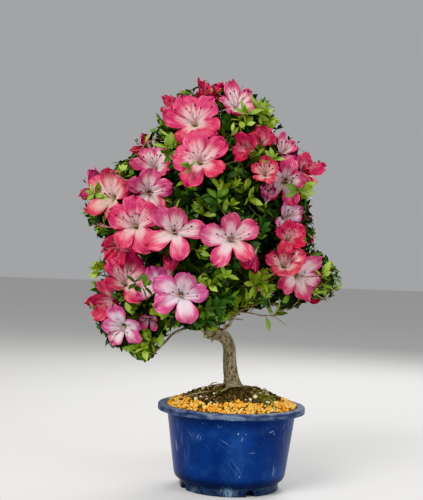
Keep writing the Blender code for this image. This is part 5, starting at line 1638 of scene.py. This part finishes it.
# Plain inner ones that close the gaps between neighbouring masses: the twig's end in millimetres.
FILL_SPRAYS = {
    "low_left": ((-90, -15, 268), (-98, 8, 264), (-107, -20, 271), (-101, -4, 276), (-112, 6, 272),
     (-103, -12, 273), (-113, -16, 277), (-158, -30, 254)),
    "low_front": ((-78, -50, 268), (-86, -30, 262)),
    "low_middle": ((2, -50, 250), (12, -46, 256)),
    "low_right": ((34, -30, 276), (46, -26, 284), (56, -20, 290), (31, -26, 269), (28, -8, 273),
     (92, -26, 294), (86, -10, 296)),
    "mid_left": ((-96, -5, 286), (-104, 12, 279), (-108, -10, 276), (-104, 4, 282), (-114, -30, 277)),
    "mid_front": ((-2, -62, 266), (4, -55, 276), (-12, -58, 258), (0, -44, 355)),
    "mid_right": ((12, -46, 284), (8, -30, 362), (46, -20, 334), (60, -10, 334)),
    "upper_front": ((4, -55, 360),),
    "upper_right": ((36, -16, 448), (36, -30, 445), (43, -20, 438)),
    "top": ((-6, -20, 468), (26, -20, 466), (20, 0, 468)),
    "back_low": ((-35, 22, 290),),
    "back_left": ((-100, 26, 277), (-39, 22, 338), (-46, 20, 294)),
    "back_right": ((-2, 26, 362),),
    "back_upper": ((-14, 22, 353), (-35, 22, 346)),
}
for label, table in (("stand out", SHOW_SPRAYS), ("stand in front", FRONT_SPRAYS),
                     ("fill gaps", FILL_SPRAYS)):
    print(sum(len(rows) for rows in table.values()), "sprays", label)

# %% Grow every mass
grown = {name: grow(name, seeded(STREAM[name])) for name in MASSES}
twig_count, spray_count = (sum(len(each[part]) for each in grown.values()) for part in (0, 2))
print(twig_count, "twigs,", spray_count, "sprays and stalks")

# %% Draw the twigs
twig_parts = []
for name, (twigs, fed, _) in grown.items():
    carrier = carrier_of(name)
    limit = LEADER_RADII[1] if carrier == "leader" else BOUGHS[carrier][5]
    for number, (line, parent) in enumerate(twigs):
        thick = min(limit, 0.0005 * fed[number] ** 0.36)
        end = 0.00055 if number else 0.0011
        if not number:
            thick = limit
        around = 8 if thick > 0.0012 else 5 if thick > 0.0008 else 4
        twig_parts.append(tube(line, np.linspace(thick, min(end, thick), len(line)), around))
twig_bark = fibrous("twig_bark", (0.14, 0.105, 0.062), (0.46, 0.38, 0.26))
piece("twigs", moved(joined(twig_parts), ZERO), twig_bark, "bark")

# %% [markdown]
# ## The leaves
#
# Azalea leaves are narrow ellipses, folded a little on the midrib and bent back at the tip, and they stand
# in whorls at the twig's end. One blade of a few dozen faces is shaped in three ways and set down thousands
# of times. A spray's place gives its green, the leaves' own green with painted light and shade over it:
# lighter yellow-green outside and above where light falls, deep green to near black inside where shade falls.

# %% The blade
LEAF_SHAPES = ((0.14, 0.24, 0.4), (0.3, 0.38, 0.34), (0.02, 0.16, 0.45))


def blade(droop, fold, width):
    """A blade one long along y: narrow at the foot, widest past the middle, folded up and bent back."""
    v, u = np.meshgrid((0, 0.12, 0.3, 0.5, 0.68, 0.86, 1), (-1, 0, 1), indexing="ij")
    outline = np.interp(v, v[:, 0], (0.035, 0.15, 0.38, 0.5, 0.45, 0.23, 0.012))
    x = u * outline * width
    z = fold * np.abs(x) - droop * v**2 + 0.05 * v + 0.01 * np.sin(v * 9) * np.abs(u)
    points = stacked(x, v, z)
    uv = stacked(0.02 + 0.96 * (0.5 + u * 0.5), 0.02 + 0.96 * v)
    return points.reshape(-1, 3), grid_faces(*v.shape), uv.reshape(-1, 2)


print("a blade has", len(blade(*LEAF_SHAPES[0])[1]), "triangles")

# %% How leaves sit round a twig
CROWN_MIDDLE, CROWN_HALF = np.array((-0.03, 0, 0.325)), np.array((0.15, 0.13, 0.16))
low_corner, high_corner = (np.array(corner) for corner in cad_box)


def whorl(place, axis, count, length, lean, chance):
    """Leaves round an axis, each a golden angle on: its foot, heading, upper face's normal and length."""
    side, up = frame_along(axis)
    found = []
    swing = chance.uniform(0, math.tau)
    for k in range(count):
        share = k / max(count - 1, 1)
        tilt = math.radians(lean[0] + (lean[1] - lean[0]) * share + chance.uniform(-9, 9))
        out = math.cos(swing) * side + math.sin(swing) * up
        heading = math.cos(tilt) * axis + math.sin(tilt) * out
        normal = math.sin(tilt) * axis - math.cos(tilt) * out
        twist = chance.uniform(-0.35, 0.35)
        across = np.cross(heading, normal)
        normal = math.cos(twist) * normal + math.sin(twist) * across
        size = chance.uniform(*length) * (0.62 + 0.38 * share if count > 3 else 1)
        found.append((place - axis * 0.0025 * share, heading, normal, size))
        swing += GOLDEN_TURN + chance.uniform(-0.25, 0.25)
    return found

# %% Where each leaf sits
# The whorl at the end of each kind of spray: how many leaves, their lengths, and how far they lean.
WHORLS = {
    "show": ((5, 8), (0.016, 0.024), (15, 72)),
    "front": ((4, 7), (0.013, 0.019), (20, 75)),
    "outer": ((4, 8), (0.013, 0.022), (15, 76)),
    "inner": ((4, 7), (0.013, 0.02), (35, 90)),
}
leaves = {tint: [] for tint in GREENS_BY_LIGHT}
for name, (twigs, _, sprays) in grown.items():
    chance = seeded(STREAM[name] + 2000)
    middle = MASSES[name][0]
    for own, kind, place, heading in sprays:
        outward = unit(place - middle)
        crown = (place - CROWN_MIDDLE) / CROWN_HALF
        upward = np.array((0, 0, 0.35))
        axis = unit(heading * 0.55 + outward * 0.55 + upward + 0.2 * crown / norm(crown))
        if kind == "bloom":
            group = whorl(place - heading * 0.009, heading, 4, (0.012, 0.02), (62, 100), chance)
        else:
            counts, lengths, lean = WHORLS["front" if kind in GREENS_BY_LIGHT else kind]
            along = axis if kind in ("outer", "inner") else heading
            group = whorl(place, along, chance.integers(*counts), lengths, lean, chance)
        line = twigs[own][0]
        for k in (4, 6):
            group += whorl(line[k], unit(line[k] - line[k - 1]), 1, (0.013, 0.022), (50, 75), chance)
        own_depth = depth_in(name, place)[0]
        # The light number picks each spray's green: outer, upper and show-side sprays take the lighter greens
        # and inner ones the deep and near-black ones, so painted light and shade lie over the leaves' own
        # greens.
        light = 0.4 * norm(crown) + 0.42 * own_depth + 0.2 * axis[2] + chance.uniform(-0.24, 0.24)
        light += {"inner": -0.32, "show": 0.5}.get(kind, 0)
        tint = GREENS_BY_LIGHT[int(np.clip(np.searchsorted((-1.06, -0.92, -0.74, -0.52), -light), 0, 4))]
        leaves[kind if kind in GREENS_BY_LIGHT else tint] += [(*leaf, kind in GREENS_BY_LIGHT) for leaf in group]

print(sum(len(group) for group in leaves.values()), "leaves before any is left out")

# %% Leaves by themselves
# Leaves by themselves on the bare twigs under the crown: the foot, the heading and the upper face's normal in
# hundredths, and the length. They are kept wherever they stand.
LONE_LEAVES = np.array([
    (-860, -600, 1900, -5, -20, -98, 20, -95, 15, 180), (378, -165, 2098, 32, -10, -94, 30, -95, 20, 185),
    (460, -170, 2130, 96, -25, 8, 10, -60, 80, 190), (440, -170, 2120, -30, -35, 88, 60, -75, 20, 150),
    (480, -170, 2125, 55, -45, 70, 40, -50, 75, 160), (600, -180, 2190, 80, -40, 45, 20, -60, 75, 165),
    (620, -180, 2205, -20, -50, 84, 70, -60, 30, 140), (-300, -110, 1905, -45, -80, 40, 10, -40, 90, 150),
    (-240, -110, 1900, 55, -80, 20, -10, -40, 90, 140),
])
KEPT_ANYWHERE = 2
lone = zip(LONE_LEAVES[:, :3] / TENTHS, LONE_LEAVES[:, 3:6] / HUNDREDTHS, LONE_LEAVES[:, 6:9] / HUNDREDTHS,
           LONE_LEAVES[:, 9] / TENTHS)
leaves["fresh"] = [(*leaf, KEPT_ANYWHERE) for leaf in lone] + leaves["fresh"]
print(len(LONE_LEAVES), "leaves by themselves")

# %% [markdown]
# A blade has a pale midrib and faint side veins. One node group draws both from the blade's own UV map, and
# every green is a material that gives the group its own two tints.

# %% The leaf's node group and its five greens
# Blade and rib of each green. The lighter greens carry painted light and the near-black dark one is painted
# shade, laid over the leaves' own yellow-green and deep green.
LEAF_GREENS_AND_PAINTED_SHADE = {
    "bright": ((0.31, 0.435, 0.062), (0.5, 0.6, 0.17)),
    "fresh": ((0.205, 0.33, 0.048), (0.38, 0.49, 0.13)),
    "mid": ((0.116, 0.226, 0.036), (0.25, 0.38, 0.095)),
    "deep": ((0.029, 0.081, 0.016), (0.08, 0.156, 0.043)),
    "dark": ((0.004, 0.012, 0.0035), (0.012, 0.027, 0.008)),
}
leaf_group, taken, given = new_group(
    "leaf_colour", {"Color": ("Blade", "Rib")}, {"Color": ("Colour",), "Float": ("Height",)}
)
own = add(leaf_group, "UVMap", uv_map="OFBake").outputs["UV"]
parted = xyz(own)
across = calc("ABSOLUTE", times_plus(parted["X"], 2, -1))
rib = times(mask(across, 0.13, 0.04), mask(parted["Y"], 0.98, 0.6))
slant = minus(times(parted["Y"], 62), times(across, 12))
side_vein = power(times_plus(calc("SINE", slant), 0.5, 0.5), 6)
cloud = noise(own, 6, 3)
tinted = blend(mask(cloud, 0.35, 0.7), taken["Blade"], taken["Rib"])
colour = blend(0.3, taken["Blade"], tinted)
colour = blend(times(side_vein, 0.22), colour, taken["Rib"])
colour = blend(times(mask(across, 0.9, 1), 0.35), colour, taken["Rib"])
colour = blend(times(rib, 0.75), colour, taken["Rib"])
put(given, "Colour", colour)
put(given, "Height", plus(times(rib, -1), times(side_vein, -0.3)))

# %% Keep the leaves that lie in reach and clear of the blooms, and set them down
# The crown is thin over the bare twigs at its lower right: the middle and half sizes of that patch, and how
# many leaves there are for one that stays.
THIN_MIDDLE, THIN_HALF = np.array((0.034, 0.229)), np.array((0.042, 0.015))
THIN_STEP = 3
leaf_pieces = []
for tint, group in leaves.items():
    foot, heading, normal, size, freed = (np.array(column) for column in zip(*group))
    normal -= heading * np.einsum("nk,nk->n", normal, heading)[:, None]
    normal /= norm(normal, axis=1, keepdims=True)
    side = np.cross(heading, normal)
    fits = np.ones(len(group), bool)
    for share in (0.3, 0.55, 0.8, 1):
        spot = foot + heading * (size * share)[:, None] - normal * (0.14 * size * share**2)[:, None]
        fits &= (clear_of_blooms(spot, 0.04) | (freed > 0)) & (within_outline(spot) | (freed > 1))
        fits &= ((spot + ZERO > low_corner - 0.004) & (spot + ZERO < high_corner + 0.004)).all(axis=1)
    in_patch = (((on_show_plane(foot).T - THIN_MIDDLE) / THIN_HALF) ** 2).sum(axis=1) < 1
    fits &= ~in_patch | (freed > 0) | (np.arange(len(group)) % THIN_STEP == 0)
    foot, heading, normal, side, size = (values[fits] for values in (foot, heading, normal, side, size))
    turns = stacked(side, heading, normal) * size[:, None, None]
    shape = joined([strewn(blade(*each), turns[k::3], foot[k::3]) for k, each in enumerate(LEAF_SHAPES)])
    material, surface = finish_of("leaf_" + tint, 0.5)
    colour, rib_colour = LEAF_GREENS_AND_PAINTED_SHADE[tint]
    made = grouped(surface, leaf_group, Blade=(*colour, 1), Rib=(*rib_colour, 1))
    put(surface, "Base Color", made.outputs["Colour"])
    bump(surface, made.outputs["Height"], 0.35, 0.0004)
    leaf_pieces.append(piece("leaf_" + tint, moved(shape, ZERO), material, "foliage", keep_uv=True))
    print(tint, len(foot), "leaves of", len(group))
for made in leaf_pieces:
    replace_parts(made, *MASSES)

# %% [markdown]
# The finished plant is measured against the box of its solids.

# %% Write the two boxes
shown_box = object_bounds()
for label, box in (("cad", cad_box), ("shown", shown_box)):
    print(label, [np.round(corner, 4).tolist() for corner in box])
